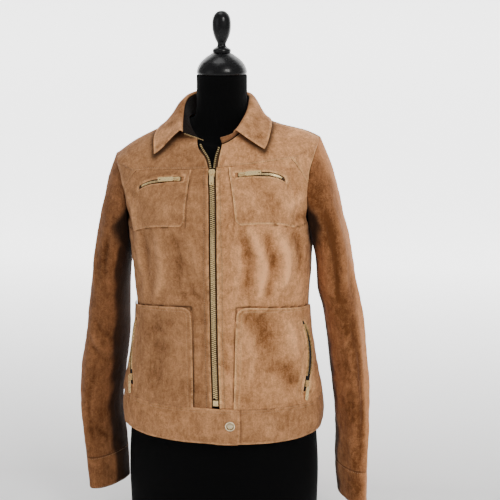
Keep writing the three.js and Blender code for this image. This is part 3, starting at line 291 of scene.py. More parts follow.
# Folds of the sleeves: turn is the angle round the tube, 0 outside and 90 at the front
SLEEVE_FOLDS = {
    "right": table(
        "turn1 s1 turn2 s2 width high",
        [
            (70, 0.5, 130, 0.56, 7, -4.0),
            (60, 0.545, 128, 0.6, 7, 3.5),
            (66, 0.585, 125, 0.63, 6, -3.5),
            (40, 0.12, 60, 0.4, 12, 3.0),
            (100, 0.1, 95, 0.34, 9, -3.5),
            (20, 0.6, 40, 0.86, 11, 3.0),
            (80, 0.66, 70, 0.88, 9, -2.5),
            (80, 0.83, 120, 0.875, 6, -2.5),
            (250, 0.2, 235, 0.5, 14, -4.0),
            (300, 0.3, 285, 0.7, 14, 3.5),
            (225, 0.5, 280, 0.56, 8, -3.5),
            (225, 0.57, 280, 0.62, 8, 3.0),
        ],
    ),
    "left": table(
        "turn1 s1 turn2 s2 width high",
        [
            (85, 0.1, 92, 0.4, 8, -5.0),
            (62, 0.08, 66, 0.42, 11, 4.0),
            (110, 0.16, 118, 0.36, 8, 3.5),
            (36, 0.3, 30, 0.92, 9, 4.5),
            (66, 0.45, 58, 0.92, 12, -3.5),
            (92, 0.5, 88, 0.9, 10, 2.5),
            (70, 0.48, 128, 0.53, 7, -3.0),
            (66, 0.53, 122, 0.575, 6, 2.6),
            (250, 0.2, 235, 0.5, 14, -4.0),
            (300, 0.3, 285, 0.7, 14, 3.5),
            (225, 0.5, 280, 0.56, 8, -3.5),
        ],
    ),
}


# ---- settings -----------------------------------------------------------------------------


def colour(name, text, default):
    return bpy.props.FloatVectorProperty(
        name=name, description=text, subtype="COLOR", size=3, min=0, max=1, default=default
    )


def length(name, text, default):
    return bpy.props.FloatProperty(
        name=name, description=text, unit="LENGTH", precision=5, min=0, default=default
    )


class JacketSuede(bpy.types.PropertyGroup):
    """The suede and how it is sewn."""

    body: colour("Body", "Middle tone of the fronts, back and pockets", (0.30, 0.128, 0.047))
    sleeve: colour("Sleeves", "Middle tone of the sleeves", (0.185, 0.070, 0.024))
    lining: colour("Lining", "Cloth inside the pockets", (0.006, 0.006, 0.007))
    thread: colour("Thread", "Topstitching", (0.52, 0.31, 0.16))
    cell: length("Grid cell", "Size of the shell's grid", 0.0030)
    stitch: length("Stitch", "Length of one topstitch", 0.0030)
    pitch: length("Stitch pitch", "Length of a topstitch and the gap after it", 0.0040)


class JacketMetal(bpy.types.PropertyGroup):
    """Zips and snap."""

    brass: colour("Brass", "Teeth, sliders and tabs", (1.0, 0.74, 0.36))
    snap: colour("Snap", "The waistband's snap", (1.0, 0.84, 0.56))
    tape: colour("Tape", "Woven tape beside the teeth", (0.085, 0.044, 0.022))
    tooth: length("Tooth pitch", "From one tooth to the next on the front zip", 0.0036)


class JacketForm(bpy.types.PropertyGroup):
    """The dress form."""

    jersey: colour("Jersey", "Cover of the torso", (0.0016, 0.0017, 0.0020))
    lacquer: colour("Lacquer", "Neck cap and finial", (0.004, 0.004, 0.0045))


class JacketStage(bpy.types.PropertyGroup):
    """Floor, lights and camera."""

    floor: colour("Floor", "Pale floor and backdrop", (0.90, 0.90, 0.90))
    glow: bpy.props.FloatProperty(
        name="Glow", description="How brightly the backdrop shines", min=0, default=2.6
    )
    light: bpy.props.FloatProperty(
        name="Light", description="Share of the lights' full power", min=0, default=1.0
    )
    lens: bpy.props.FloatProperty(
        name="Lens", description="Focal length", unit="CAMERA", min=1, default=81.72
    )


# ---- surfaces -----------------------------------------------------------------------------


def cubic(t, start, leave, end, arrive):
    """The cubic from start to end as t runs from 0 to 1, with a slope at each."""
    return (
        (2 * t**3 - 3 * t**2 + 1) * start
        + (t**3 - 2 * t**2 + t) * leave
        + (3 * t**2 - 2 * t**3) * end
        + (t**3 - t**2) * arrive
    )


def curve(rows, column, at, corner=None):
    """Smooth curve through a table's column.

    Each stretch between two rows is a cubic whose slope at a row is the mean of the two
    neighbouring chords, weighted by the length of the other one. At the row called corner,
    each side keeps the slope of its own chord.
    """
    x, y = rows["at"], rows[column]
    if x[0] > x[-1]:
        x, y = x[::-1], y[::-1]
    at = np.clip(np.asarray(at, float), x[0], x[-1])
    step = np.diff(x)
    slope = np.diff(y) / step
    inner = (slope[:-1] * step[1:] + slope[1:] * step[:-1]) / (x[2:] - x[:-2])
    leave = np.concatenate([slope[:1], inner, slope[-1:]])
    arrive = leave.copy()
    if corner is not None:
        k = int(np.argmin(abs(x - corner)))
        leave[k], arrive[k] = slope[k], slope[k - 1]
    i = np.clip(np.searchsorted(x, at, side="right") - 1, 0, len(x) - 2)
    t = (at - x[i]) / step[i]
    return cubic(t, y[i], step[i] * leave[i], y[i + 1], step[i] * arrive[i + 1])


def row_at(rows, at):
    """Every column of a table at a place."""
    return {column: curve(rows, column, at) for column in rows}


def mix(a, b, t):
    return a + (b - a) * t


def smooth(t):
    k = np.clip(t, 0, 1)
    return k * k * (3 - 2 * k)


def bell(distance, width):
    """1 at no distance, falling smoothly to almost 0 at twice the width."""
    return np.exp(-((distance / width) ** 2))


def unit(v):
    return v / np.maximum(np.linalg.norm(v, axis=-1, keepdims=True), 1e-12)


def ring(column, level, corner=None):
    return curve(RINGS, column, level, corner)


def body(phi, level):
    """Point of the jacket's outer surface, in millimetres.

    Each level is a superellipse, |x / width|^n + |y / depth|^n = 1, met by the ray at phi. Its
    height runs from the side's to the front's or back's with (|y| / depth)^1.6, and leans with
    x. A smooth bump, a Gaussian in x and z, is added at each side of the chest.
    """
    phi, level = np.broadcast_arrays(np.asarray(phi, float), np.asarray(level, float))
    front = np.cos(phi) >= 0
    depth = np.where(front, ring("front", level), ring("back", level))
    width, n = ring("width", level, TIP), ring("square", level)
    r = ((abs(np.sin(phi)) / width) ** n + (abs(np.cos(phi)) / depth) ** n) ** (-1 / n)
    x, y = r * np.sin(phi), -r * np.cos(phi)
    side = ring("zSide", level, TIP)
    middle = np.where(front, ring("zFront", level), ring("zBack", level))
    z = side + (middle - side) * (abs(y) / depth) ** 1.6
    bump = 12 * np.exp(-(((abs(x) - 82) / 52) ** 2) - ((z - 606) / 62) ** 2)
    y = y - bump * np.clip(-y / 60, 0, 1)
    return np.stack([x + ring("shift", level, TIP), y, z + ring("lean", level) * x], -1)


def normal(phi, level):
    """Unit normal of body, from the cross product of its two chords."""
    around = body(phi + 0.004, level) - body(phi - 0.004, level)
    up = body(phi, np.asarray(level, float) + 1) - body(phi, np.asarray(level, float) - 1)
    return unit(np.cross(around, up))


def ripple(p, seed, waves, lengths):
    """Sum of plane waves in seeded random directions, scaled to about -1 to 1."""
    rng = np.random.default_rng(seed)
    total = np.zeros(p.shape[:-1])
    for _ in range(waves):
        way = unit(rng.normal(size=3))
        k = 2 * math.pi / rng.uniform(*lengths)
        total += np.sin(p @ way * k + rng.uniform(0, 2 * math.pi))
    return total / math.sqrt(waves)


def stroke(u, v, start, end, width, high):
    """A ridge along a line: a bell of the distance from it, faded at both ends."""
    du, dv = end[0] - start[0], end[1] - start[1]
    span = math.hypot(du, dv)
    t = ((u - start[0]) * du + (v - start[1]) * dv) / span**2
    off = ((u - start[0]) * dv - (v - start[1]) * du) / span
    off = off + 0.08 * span * np.sin(math.pi * np.clip(t, 0, 1))
    fade = smooth((t + 0.18) / 0.4) * smooth((1.18 - t) / 0.4)
    return high * bell(off, width) * fade


def strokes(u, v, rows, across_it, up):
    """The sum of a table's ridges, whose first columns are scaled by across_it and up."""
    total = 0.0
    for row in zip(*(rows[column] for column in list(rows)[:6])):
        start, end = (row[0] * across_it, row[1] * up), (row[2] * across_it, row[3] * up)
        total = total + stroke(u, v, start, end, *row[4:])
    return total


def relief(phi, level, p):
    """How far the cloth stands off its plain surface, in millimetres.

    The sum of the folds and of two ripples, which fade out beside each zip and the snap so
    that the metal parts stay seated.
    """
    turn = np.mod(phi + math.pi / 2, 2 * math.pi) - math.pi / 2
    total = 0.55 * ripple(p, 5, 14, (34, 90)) + 0.22 * ripple(p, 8, 14, (12, 30))
    total = total + strokes(ARC * turn, level, FOLDS, ARC * math.radians(1), 1)
    quiet = 1 - bell(ARC * (turn - centre_at(level)), 12)
    side = abs(np.degrees(turn))
    chest = level - curve(CHEST_ZIP, "level", side)
    on_chest = smooth((side - 20) / 5) * smooth((64 - side) / 5)
    quiet = quiet * (1 - on_chest * bell(chest, 12))
    mouth = (side - curve(LOWER_ZIP, "phi", level)) * ARC_DEGREE
    on_mouth = smooth((level - 278) / 10) * smooth((450 - level) / 12)
    quiet = quiet * (1 - on_mouth * bell(mouth, 17))
    snap = np.hypot(ARC * 0.85 * (turn - SNAP["phi"]), level - SNAP["level"])
    quiet = quiet * (1 - bell(snap, 13))
    neck = smooth((NECK + 2 - level) / 12)
    armhole = smooth((TIP + 24 - level) / 30) + (1 - smooth((abs(side - 90) - 4) / 10))
    return total * quiet * neck * np.where(level > TIP, np.clip(armhole + 0.4, 0, 1), 1)


def cloth_point(phi, level, lift=0.0):
    """Point at a lift off the folded surface, along the plain surface's normal."""
    p, n = body(phi, level), normal(phi, level)
    return p + n * (relief(phi, level, p) + lift)[..., None]


def arm_edge(level, bow):
    """The armhole's edge as an angle: an ellipse in level and phi."""
    u = np.clip(2 * (level - PIT) / (TIP - PIT) - 1, -1, 1)
    return math.pi / 2 - bow * np.sqrt(1 - u * u)


def centre_at(level):
    return np.radians(curve(CENTRE, "phi", level))


def across(level, mm):
    """Millimetres along a ring, near the front, as an angle."""
    return mm / ring("front", level)


def stations(keys, step, fine=2.4):
    """Places from the first key to the last: even steps, and extra ones beside each key."""
    keys = sorted(keys)
    near = np.array([0.0, 0.07, 0.3, 0.65, 1.0]) * fine
    out = set()
    for a, b in zip(keys[:-1], keys[1:]):
        span = b - a
        pad = min(fine, span * 0.45)
        low, high = a + near * pad / fine, b - near * pad / fine
        count = max(int(round((span - 2 * pad) / step)), 1)
        out.update(np.round(np.concatenate([low, np.linspace(a + pad, b - pad, count + 1), high]), 5))
    return np.array(sorted(out))


def fold_shade(fold):
    """Painted shading for a height: lighter on ridges, a little darker in valleys, 0.5 between."""
    return 0.5 + np.where(fold > 0, np.minimum(fold, 8) / 20, np.maximum(fold, -5) / 19)


def beside_pockets(phi, level):
    """Millimetres from the outline of the nearest patch pocket, for places on the front."""
    side = abs(np.degrees(np.mod(phi + math.pi, 2 * math.pi) - math.pi))
    near = np.full(np.shape(side), FAR)
    for inner, over in (
        (CHEST["inner"], curve(CHEST_BOTTOM, "level", side) - level),
        (curve(LOWER_INNER, "phi", level), level - curve(LOWER_TOP, "level", side)),
    ):
        off = np.hypot(np.maximum((inner - side) * DEGREE, 0), np.maximum(over, 0))
        near = np.minimum(near, np.where(off > 0, off, FAR))
    return near


def rim(d, thick):
    """How far a turned edge falls away from its face at a distance from it: a quarter circle."""
    r = thick / 2
    k = np.clip(1 - np.maximum(d, 0) / r, 0, 1)
    return r * (1 - np.sqrt(1 - k * k))


def pucker(p, d):
    """Small waves beside a sewn edge, strongest about 5 mm in from it."""
    return 0.5 * ripple(p, 44, 12, (8, 17)) * bell(d - 5, 4.5)


def groove(d, rows):
    """The dip that each row of stitches pulls in cloth at a distance from its edge."""
    total = np.zeros_like(d)
    for at in rows:
        total = total + 0.35 * bell(d - at, GROOVE_WIDE)
    return total


def grid_lines(at, extra):
    """A grid's lines together with extra ones."""
    return np.unique(np.concatenate([at, extra]))


def border(us, vs):
    """How far each point of the grid over us and vs is from the grid's own border."""
    inset = [np.minimum(at - at[0], at[-1] - at) for at in (us, vs)]
    return np.minimum(inset[0], inset[1][:, None])


# ---- meshes -------------------------------------------------------------------------------


def corners(index):
    """The four corners of each cell of a grid of point numbers, in turn round the cell."""
    return index[:-1, :-1], index[:-1, 1:], index[1:, 1:], index[1:, :-1]


def closed_wall(outer, inner, wrap=False, keep=None):
    """Faces of a closed wall between two equal grids. Cells outside keep are left out."""
    rows, columns = outer.shape[:2]
    last = columns if wrap else columns - 1
    if keep is None:
        keep = np.ones((rows - 1, last), bool)
    index = np.arange(rows * columns).reshape(rows, columns)
    if wrap:
        index = np.concatenate([index, index[:, :1]], 1)
    a, b, c, d = corners(index)
    half = rows * columns

    def quads(mask, *points):
        return np.stack([x[mask] for x in points], -1)

    faces = [quads(keep, a, b, c, d), quads(keep, a + half, d + half, c + half, b + half)]
    framed = np.zeros((rows + 1, last + 2), bool)
    framed[1:-1, 1:-1] = keep
    if wrap:
        framed[:, 0], framed[:, -1] = framed[:, -2], framed[:, 1]
    for beside, e, f in (
        (framed[:-2, 1:-1], b, a),
        (framed[2:, 1:-1], d, c),
        (framed[1:-1, :-2], a, d),
        (framed[1:-1, 2:], c, b),
    ):
        faces.append(quads(keep & ~beside, e, f, f + half, e + half))
    points = np.concatenate([outer.reshape(-1, 3), inner.reshape(-1, 3)])
    return points, np.concatenate(faces)


def turned_out(points, faces):
    """The same faces, all turned round if the shape they close is inside out."""
    p = points[faces[:, :4]]
    volume = np.einsum("ij,ij->i", p[:, 0], np.cross(p[:, 1], p[:, 2])).sum()
    volume += np.einsum("ij,ij->i", p[:, 0], np.cross(p[:, 2], p[:, -1])).sum()
    return faces if volume > 0 else faces[:, ::-1]


def make_mesh(name, points, faces, smooth_faces=True):
    """A mesh from points in millimetres."""
    mesh = bpy.data.meshes.new(name)
    mesh.from_pydata((points * MM).tolist(), [], faces)
    mesh.polygons.foreach_set("use_smooth", [smooth_faces] * len(mesh.polygons))
    return mesh


def set_values(mesh, key, values):
    mesh.attributes.new(key, "FLOAT", "POINT").data.foreach_set("value", values)


def add_piece(name, mesh, look):
    """A mesh as a piece of the scene, riding on the jacket's body."""
    mesh.materials.append(look)
    piece = bpy.data.objects.new(name, mesh)
    bpy.context.scene.collection.objects.link(piece)
    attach(piece, BODY)
    return piece


def make_piece(name, points, faces, look, slot, attributes=None, smooth_faces=True):
    """A piece from points in millimetres. Points that no face uses are left out."""
    used = np.unique(faces)
    if len(used) < len(points):
        renumber = np.full(len(points), -1)
        renumber[used] = np.arange(len(used))
        points, faces = points[used], renumber[faces]
        attributes = {k: v[used] for k, v in (attributes or {}).items()}
    mesh = make_mesh(name, points, turned_out(points, faces).tolist(), smooth_faces)
    if mesh.validate():
        raise RuntimeError(f"{name} has faces that can't be used")
    for key, values in (attributes or {}).items():
        set_values(mesh, key, values)
    return add_piece(name, mesh, look)


def grid_size(p):
    """Longest row and column of a grid and its area, in metres and square metres."""
    wide = np.linalg.norm(np.diff(p, axis=1), axis=-1).sum(1).max() * MM
    long = np.linalg.norm(np.diff(p, axis=0), axis=-1).sum(0).max() * MM
    u = p[1:, 1:] - p[:-1, :-1]
    v = p[1:, :-1] - p[:-1, 1:]
    area = np.linalg.norm(np.cross(u, v), axis=-1).sum() / 2 * MM * MM
    return wide, long, area


def declare_sheet(p):
    wide, long, area = grid_size(p)
    flat = (round(wide, 3), round(long, 3))
    area = min(area, flat[0] * flat[1])


def wall_piece(name, p, n, lift, thick, edge, dip, look, shades, slot="suede", keep=None, wrap=False):
    """A piece of cloth along a grid of points, and its outer face.

    The outer face lies at lift along n and the inner one a thickness below. Both close in a
    half circle at the edge, edge being how far each point is from it, and dip lowers the outer
    one along its stitches. shades are the values at each point that the nap reads.
    """
    drop = rim(edge, thick)
    outer = p + n * (lift - drop - dip)[..., None]
    inner = p + n * (lift - thick + drop)[..., None]
    points, faces = closed_wall(outer, inner, wrap, keep)
    attributes = {key: np.tile(values.ravel(), 2) for key, values in shades.items()}
    return make_piece(name, points, faces, look, slot, attributes), outer


# ---- materials ----------------------------------------------------------------------------


class Tree:
    """Short hand for building a node tree."""

    def __init__(self, tree):
        self.tree = tree

    def node(self, kind, **values):
        made = self.tree.nodes.new(kind)
        for key, value in values.items():
            setattr(made, key, value)
        return made

    def put(self, target, value):
        if hasattr(value, "is_output"):
            self.tree.links.new(value, target)
        elif value is not None:
            target.default_value = value

    def wired(self, kind, inputs, **values):
        """The outputs of a new node whose inputs, named or numbered, are set or linked."""
        made = self.node(kind, **values)
        for key, value in inputs.items():
            self.put(made.inputs[key], value)
        return made.outputs

    def math(self, operation, a, b=None, c=None, clamped=False):
        inputs = {0: a, 1: b, 2: c}
        return self.wired("ShaderNodeMath", inputs, operation=operation, use_clamp=clamped)[0]

    def vector(self, operation, a, b):
        return self.wired("ShaderNodeVectorMath", {0: a, 1: b}, operation=operation)[0]

    def noise(self, where, scale, detail, rough=0.55, distortion=0.0):
        inputs = {"Vector": where, "Scale": scale, "Detail": detail, "Roughness": rough}
        return self.wired("ShaderNodeTexNoise", {**inputs, "Distortion": distortion})["Fac"]

    def spread(self, value, low, high):
        """The value stretched so that low is 0 and high is 1."""
        inputs = {"Value": value, "From Min": low, "From Max": high}
        return self.wired("ShaderNodeMapRange", inputs)[0]

    def blend(self, share, a, b, kind="MIX"):
        inputs = {0: share, 6: a, 7: b}
        return self.wired("ShaderNodeMix", inputs, data_type="RGBA", blend_type=kind)[2]

    def bump(self, height, strength, distance, below=None):
        inputs = {"Height": height, "Strength": strength, "Distance": distance, "Normal": below}
        return self.wired("ShaderNodeBump", inputs)[0]

    def grey(self, value):
        """The value as a colour."""
        return self.wired("ShaderNodeCombineColor", {0: value, 1: value, 2: value})[0]

    def where(self):
        return self.node("ShaderNodeTexCoord").outputs["Object"]


COLOUR, VECTOR, VALUE = "NodeSocketColor", "NodeSocketVector", "NodeSocketFloat"


def group(name, inputs, outputs, build):
    """A shared node group with named sockets, built once."""
    if name in bpy.data.node_groups:
        return bpy.data.node_groups[name]
    tree = bpy.data.node_groups.new(name, "ShaderNodeTree")
    for key, (kind, default) in inputs.items():
        socket = tree.interface.new_socket(name=key, in_out="INPUT", socket_type=kind)
        socket.default_value = default
    for key, kind in outputs.items():
        tree.interface.new_socket(name=key, in_out="OUTPUT", socket_type=kind)
    t = Tree(tree)
    source, sink = t.node("NodeGroupInput"), t.node("NodeGroupOutput")
    for key, value in build(t, source.outputs).items():
        t.put(sink.inputs[key], value)
    return tree


def build_nap(t, given):
    """Suede nap: cloudy patches, brushed streaks, fine grain, lighter edges, painted light and shade.
    """
    at = t.vector("ADD", t.where(), given["Offset"])
    cloud = t.spread(t.noise(at, 16.0, 6.0, 0.65, 0.6), 0.32, 0.68)
    patch = t.spread(t.noise(at, 70.0, 7.0, 0.74, 0.8), 0.30, 0.70)
    grain = t.noise(at, 420.0, 5.0, 0.75, 0.2)
    streaked = t.vector("MULTIPLY", at, (1.0, 1.0, 0.28))
    brushed = t.spread(t.noise(streaked, 170.0, 5.0, 0.72, 0.5), 0.34, 0.68)
    tone = t.math("MULTIPLY_ADD", cloud, 0.28, t.math("MULTIPLY", patch, 0.26))
    tone = t.math("MULTIPLY_ADD", brushed, 0.26, tone)
    tone = t.math("MULTIPLY_ADD", t.spread(grain, 0.3, 0.7), 0.28, tone)
    # Painted light and shade from the folds: lighter on ridges, darker in valleys.
    tone = t.math("MULTIPLY_ADD", t.math("SUBTRACT", given["Painted Fold Shading"], 0.5), 1.3, tone)
    ramp = t.node("ShaderNodeValToRGB")
    t.put(ramp.inputs[0], tone)
    ramp.color_ramp.elements[0].position, ramp.color_ramp.elements[1].position = 0.10, 1.0
    tint = t.blend(ramp.outputs[0], given["Dark"], given["Light"])
    # Edges lightened: partly wear, partly a painted highlight on the sleeves' lit outside.
    edge_wear_and_highlight = t.math("MULTIPLY", given["Edge"], t.spread(patch, 0.1, 0.9), clamped=True)
    tint = t.blend(t.math("MULTIPLY", edge_wear_and_highlight, 0.8), tint, given["Edge Tint"])
    fleck = t.spread(t.noise(at, 300.0, 6.0, 0.8, 0.3), 0.36, 0.64)
    speck = t.math("MULTIPLY_ADD", fleck, 0.34, t.math("MULTIPLY_ADD", patch, 0.22, 0.74))
    tint = t.blend(1.0, tint, t.grey(speck), "MULTIPLY")
    # Painted shade: blended toward near black.
    tint = t.blend(given["Painted Shade"], tint, (0.009, 0.0045, 0.0028, 1.0))
    coarse = t.bump(t.math("MULTIPLY_ADD", patch, 0.5, brushed), 0.5, 0.0009)
    fine = t.bump(grain, 0.55, 0.0006, coarse)
    rough = t.math("MULTIPLY_ADD", grain, 0.12, 0.84)
    return {"Color": tint, "Roughness": rough, "Normal": fine}


def nap_group():
    return group(
        "suede_nap",
        {
            "Dark": (COLOUR, (0.2, 0.1, 0.05, 1)),
            "Light": (COLOUR, (0.5, 0.3, 0.2, 1)),
            "Edge Tint": (COLOUR, (0.6, 0.4, 0.3, 1)),
            "Offset": (VECTOR, (0, 0, 0)),
            "Edge": (VALUE, 0),
            "Painted Fold Shading": (VALUE, 0.5),
            "Painted Shade": (VALUE, 0),
        },
        {"Color": COLOUR, "Roughness": VALUE, "Normal": VECTOR},
        build_nap,
    )


def build_weave(t, given):
    """Fine knit or weave: two crossed sets of threads, with a little lint."""
    at = t.where()
    x, y, z = t.wired("ShaderNodeSeparateXYZ", {0: at})
    round_it = t.math("ADD", x, t.math("MULTIPLY", y, 0.7))
    warp = t.math("SINE", t.math("MULTIPLY", round_it, given["Threads"]))
    weft = t.math("SINE", t.math("MULTIPLY", z, given["Threads"]))
    cloth = t.math("MULTIPLY", warp, weft)
    lint = t.noise(at, 260.0, 4.0, 0.7)
    tone = t.math("MULTIPLY_ADD", cloth, 0.12, t.math("MULTIPLY_ADD", lint, 0.5, 0.6))
    tint = t.blend(1.0, given["Color"], t.grey(tone), "MULTIPLY")
    return {
        "Color": tint,
        "Normal": t.bump(t.math("MULTIPLY_ADD", lint, 0.6, cloth), 0.5, 0.0004),
    }


def weave_group():
    return group(
        "fine_weave",
        {"Color": (COLOUR, (0.1, 0.1, 0.1, 1)), "Threads": (VALUE, 5000.0)},
        {"Color": COLOUR, "Normal": VECTOR},
        build_weave,
    )


def build_polish(t, given):
    """Polished metal: faint tarnish, brushed scratches and painted shade where a mask is set."""
    at = t.where()
    cloud = t.spread(t.noise(at, 160.0, 4.0, 0.6, 0.4), 0.35, 0.7)
    scratch = t.noise(t.vector("MULTIPLY", at, (1.0, 1.0, 8.0)), 700.0, 3.0, 0.6)
    # Painted shade from the mask, added to the random tarnish, blends toward the tarnish colour.
    darkening = t.math("MULTIPLY_ADD", cloud, 0.3, given["Painted Shade Mask"], clamped=True)
    tint = t.blend(darkening, given["Color"], given["Tarnish And Shade"])
    rough = t.math("MULTIPLY_ADD", cloud, 0.14, t.math("MULTIPLY_ADD", scratch, 0.12, 0.16))
    return {"Color": tint, "Roughness": rough, "Normal": t.bump(scratch, 0.12, 0.0002)}


def polish_group():
    return group(
        "worn_polish",
        {
            "Color": (COLOUR, (0.8, 0.7, 0.4, 1)),
            "Tarnish And Shade": (COLOUR, (0.4, 0.3, 0.15, 1)),
            "Painted Shade Mask": (VALUE, 0),
        },
        {"Color": COLOUR, "Roughness": VALUE, "Normal": VECTOR},
        build_polish,
    )


def material(name, shared, inputs, plain):
    """A Principled material that takes its colour, roughness and normal from a shared group."""
    if name in bpy.data.materials:
        return bpy.data.materials[name]
    made = bpy.data.materials.new(name)
    made.use_nodes = True
    t = Tree(made.node_tree)
    shader = made.node_tree.nodes["Principled BSDF"]
    for key, value in plain.items():
        shader.inputs[key].default_value = value
    holder = t.node("ShaderNodeGroup", node_tree=shared)
    for key, value in inputs.items():
        if isinstance(value, str):
            value = t.node("ShaderNodeAttribute", attribute_name=value).outputs["Fac"]
        t.put(holder.inputs[key], value)
    for key, target in (("Color", "Base Color"), ("Roughness", "Roughness"), ("Normal", "Normal")):
        if key in holder.outputs:
            t.put(shader.inputs[target], holder.outputs[key])
    return made


def opaque(rgb, scale=1.0, shift=(1.0, 1.0, 1.0)):
    return (*[min(c * scale * s, 1.0) for c, s in zip(rgb, shift)], 1.0)


def suede(tone):
    """Suede for one part: the sleeves have a darker base, and the gains are painted light and shade.
    """
    look = bpy.context.scene.jacket_suede
    # Painted light and shade in the gains: the wearer's left front, pocket and sleeve face the key
    # light and are lighter; the back and the collar stand's inside are painted darker.
    base, tone_and_light_gain, offset = {
        "right": (look.body, 0.95, (0.3, 0.1, 0.0)),
        "left": (look.body, 1.5, (1.7, 0.4, 0.9)),
        "pocket_right": (look.body, 0.92, (2.3, 0.2, 0.5)),
        "pocket_left": (look.body, 1.38, (3.1, 0.9, 0.2)),
        "back": (look.body, 0.78, (4.7, 0.3, 0.6)),
        "band": (look.body, 1.08, (5.9, 0.7, 0.1)),
        "collar": (look.body, 1.2, (6.1, 0.5, 0.8)),
        "inside": (look.body, 0.7, (6.9, 0.5, 0.8)),
        "sleeve_right": (look.sleeve, 0.95, (7.7, 0.1, 0.4)),
        "sleeve_left": (look.sleeve, 1.42, (8.3, 0.6, 0.7)),
    }[tone]
    return material(
        f"suede_{tone}",
        nap_group(),
        {
            "Dark": opaque(base, 0.50 * tone_and_light_gain, (1.0, 0.90, 0.78)),
            "Light": opaque(base, 2.2 * tone_and_light_gain, (1.0, 1.16, 1.45)),
            "Edge Tint": opaque(base, 2.7 * tone_and_light_gain, (1.0, 1.18, 1.45)),
            "Offset": offset,
            "Edge": "edge",
            "Painted Fold Shading": "fold",
            "Painted Shade": "painted_shade",
        },
        {"Sheen Weight": 0.07, "Sheen Roughness": 0.4, "Specular IOR Level": 0.1},
    )


def woven(name, rgb, threads, rough, sheen):
    return material(
        name,
        weave_group(),
        {"Color": opaque(rgb), "Threads": threads},
        {"Roughness": rough, "Sheen Weight": sheen, "Specular IOR Level": 0.1},
    )


def brass(name, rgb):
    return material(
        name,
        polish_group(),
        # The mask read here is painted shade, darkening toward the tarnish colour.
        {"Color": opaque(rgb), "Tarnish And Shade": opaque(rgb, 0.4, (1.0, 0.8, 0.55)), "Painted Shade Mask": "darkening"},
        {"Metallic": 0.5},
    )


# ---- pieces -------------------------------------------------------------------------------


def cell():
    return bpy.context.scene.jacket_suede.cell / MM


def seam_at(t, gap):
    """Level of the front's seam with its yoke, a share t of the way to the armhole."""
    phi = mix(math.radians(5), arm_edge(YOKE_LEVEL, ARM_FRONT), t)
    return curve(YOKE, "level", np.degrees(phi)) + gap


def front_place(side, d, v):
    """phi and level of a front at d from its edge and v up: columns fan to the armhole, and
    rows above the pit run parallel to the yoke seam."""
    t = d / FRONT_WIDE
    seam = seam_at(t, -SEAM / 2)
    level = np.where(v <= PIT, v, mix(PIT, seam, (v - PIT) / (YOKE_LEVEL - PIT)))
    start = centre_at(level) + side * across(level, ZIP_RECESS)
    return mix(start, side * arm_edge(level, ARM_FRONT), t), level


def front(side_name):
    name = f"front_{side_name}"
    us = grid_lines(stations([0, FRONT_WIDE], cell()), (4.0, 8.2, 9.6, 11.0))
    vs = stations([BAND_LEVEL + SEAM / 2, PIT, YOKE_LEVEL], cell())
    d, v = np.meshgrid(us, vs)
    phi, level = front_place(SIDES[side_name], d, v)
    ends = np.minimum(v - vs[0], vs[-1] - v)
    dips = np.where((ends > 1) & (d < 40), d, FAR)
    p, dip = body(phi, level), groove(dips, FRONT_ROWS)
    fold = relief(phi, level, p) + pucker(p, dips)
    # Painted shadow beside the patch pockets and along the second row of stitches.
    under = 0.8 * bell(beside_pockets(phi, level), 2.2)
    under = np.maximum(under, 0.4 * bell(dips - FRONT_ROWS[1], GROOVE_WIDE))
    # Painted shade beside the armhole, just above the pit.
    armpit_shade = 0.85 * bell(FRONT_WIDE - d, 9) * bell(v - PIT - 22, 34)
    shades = {
        "edge": bell(d, 3.2) + 1.8 * dip,
        "fold": fold_shade(fold),
        "painted_shade": np.maximum(under, armpit_shade),
    }
    piece, outer = wall_piece(
        f"{name}_suede", p, normal(phi, level), fold, SUEDE, border(us, vs), dip,
        suede(side_name), shades,
    )
    declare_sheet(outer)
    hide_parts(name)


def opening_side(kind, side, level):
    """Angle of the open neck's leather edge or tooth row on one side."""
    return np.radians(curve(OPENING, kind + ("Right" if side < 0 else "Left"), level))


def yoke_place(side, t, v):
    """phi and level of a yoke: from the V's edge to the armhole, and from the seam to the neck."""
    level = mix(seam_at(t, SEAM / 2), NECK, v)
    gap = np.where(level >= TIP, SEAM / 2 / ring("width", level, TIP), 0)
    outer = side * (arm_edge(level, ARM_FRONT) - gap)
    return mix(opening_side("edge", side, level), outer, t), level


def leaf_shadow(p):
    """Painted shadow of the collar leaf: how dark the yoke is below its front and lower edges."""
    first = COLLAR_ROWS["at"][0]
    v = np.linspace(0.25, 1.0, 30)
    angle = np.linspace(first, LEAF_END, 260)
    line = np.concatenate([
        fall_surface(np.full_like(v, first), v),
        fall_surface(np.full_like(v, LEAF_END), v),
        fall_surface(angle, np.ones_like(angle)),
    ])
    line = line[line[:, 1] < 0]
    across_it = p[..., None, 0] - line[:, 0]
    below = p[..., None, 2] - line[:, 2] + 4.0
    return 0.82 * bell(np.hypot(across_it, below).min(-1), 7.0)


def plain_panel(name, phi, level, edge, look, painted_shade=None):
    """A panel without stitches that hangs on the form."""
    p = body(phi, level)
    fold = relief(phi, level, p)
    shades = {"edge": bell(edge, 3.2), "fold": fold_shade(fold)}
    if painted_shade is not None:
        shades["painted_shade"] = painted_shade
    n = normal(phi, level)
    piece, outer = wall_piece(name, p, n, fold, SUEDE, edge, 0.0, suede(look), shades)
    declare_sheet(outer)
    return piece


def yoke_front(side_name):
    name, tall = f"yoke_front_{side_name}", NECK - YOKE_LEVEL
    us = stations([0, YOKE_WIDE], cell())
    vs = grid_lines(stations([0, tall], cell() * 0.8), (1.6, 4.5, 7.4))
    d, v = np.meshgrid(us, vs)
    phi, level = yoke_place(SIDES[side_name], d / YOKE_WIDE, v / tall)
    # Painted shadow of the collar leaf on the yoke.
    painted_shade = leaf_shadow(cloth_point(phi, level))
    piece = plain_panel(f"{name}_suede", phi, level, border(us, vs), side_name, painted_shade)
    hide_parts(name)


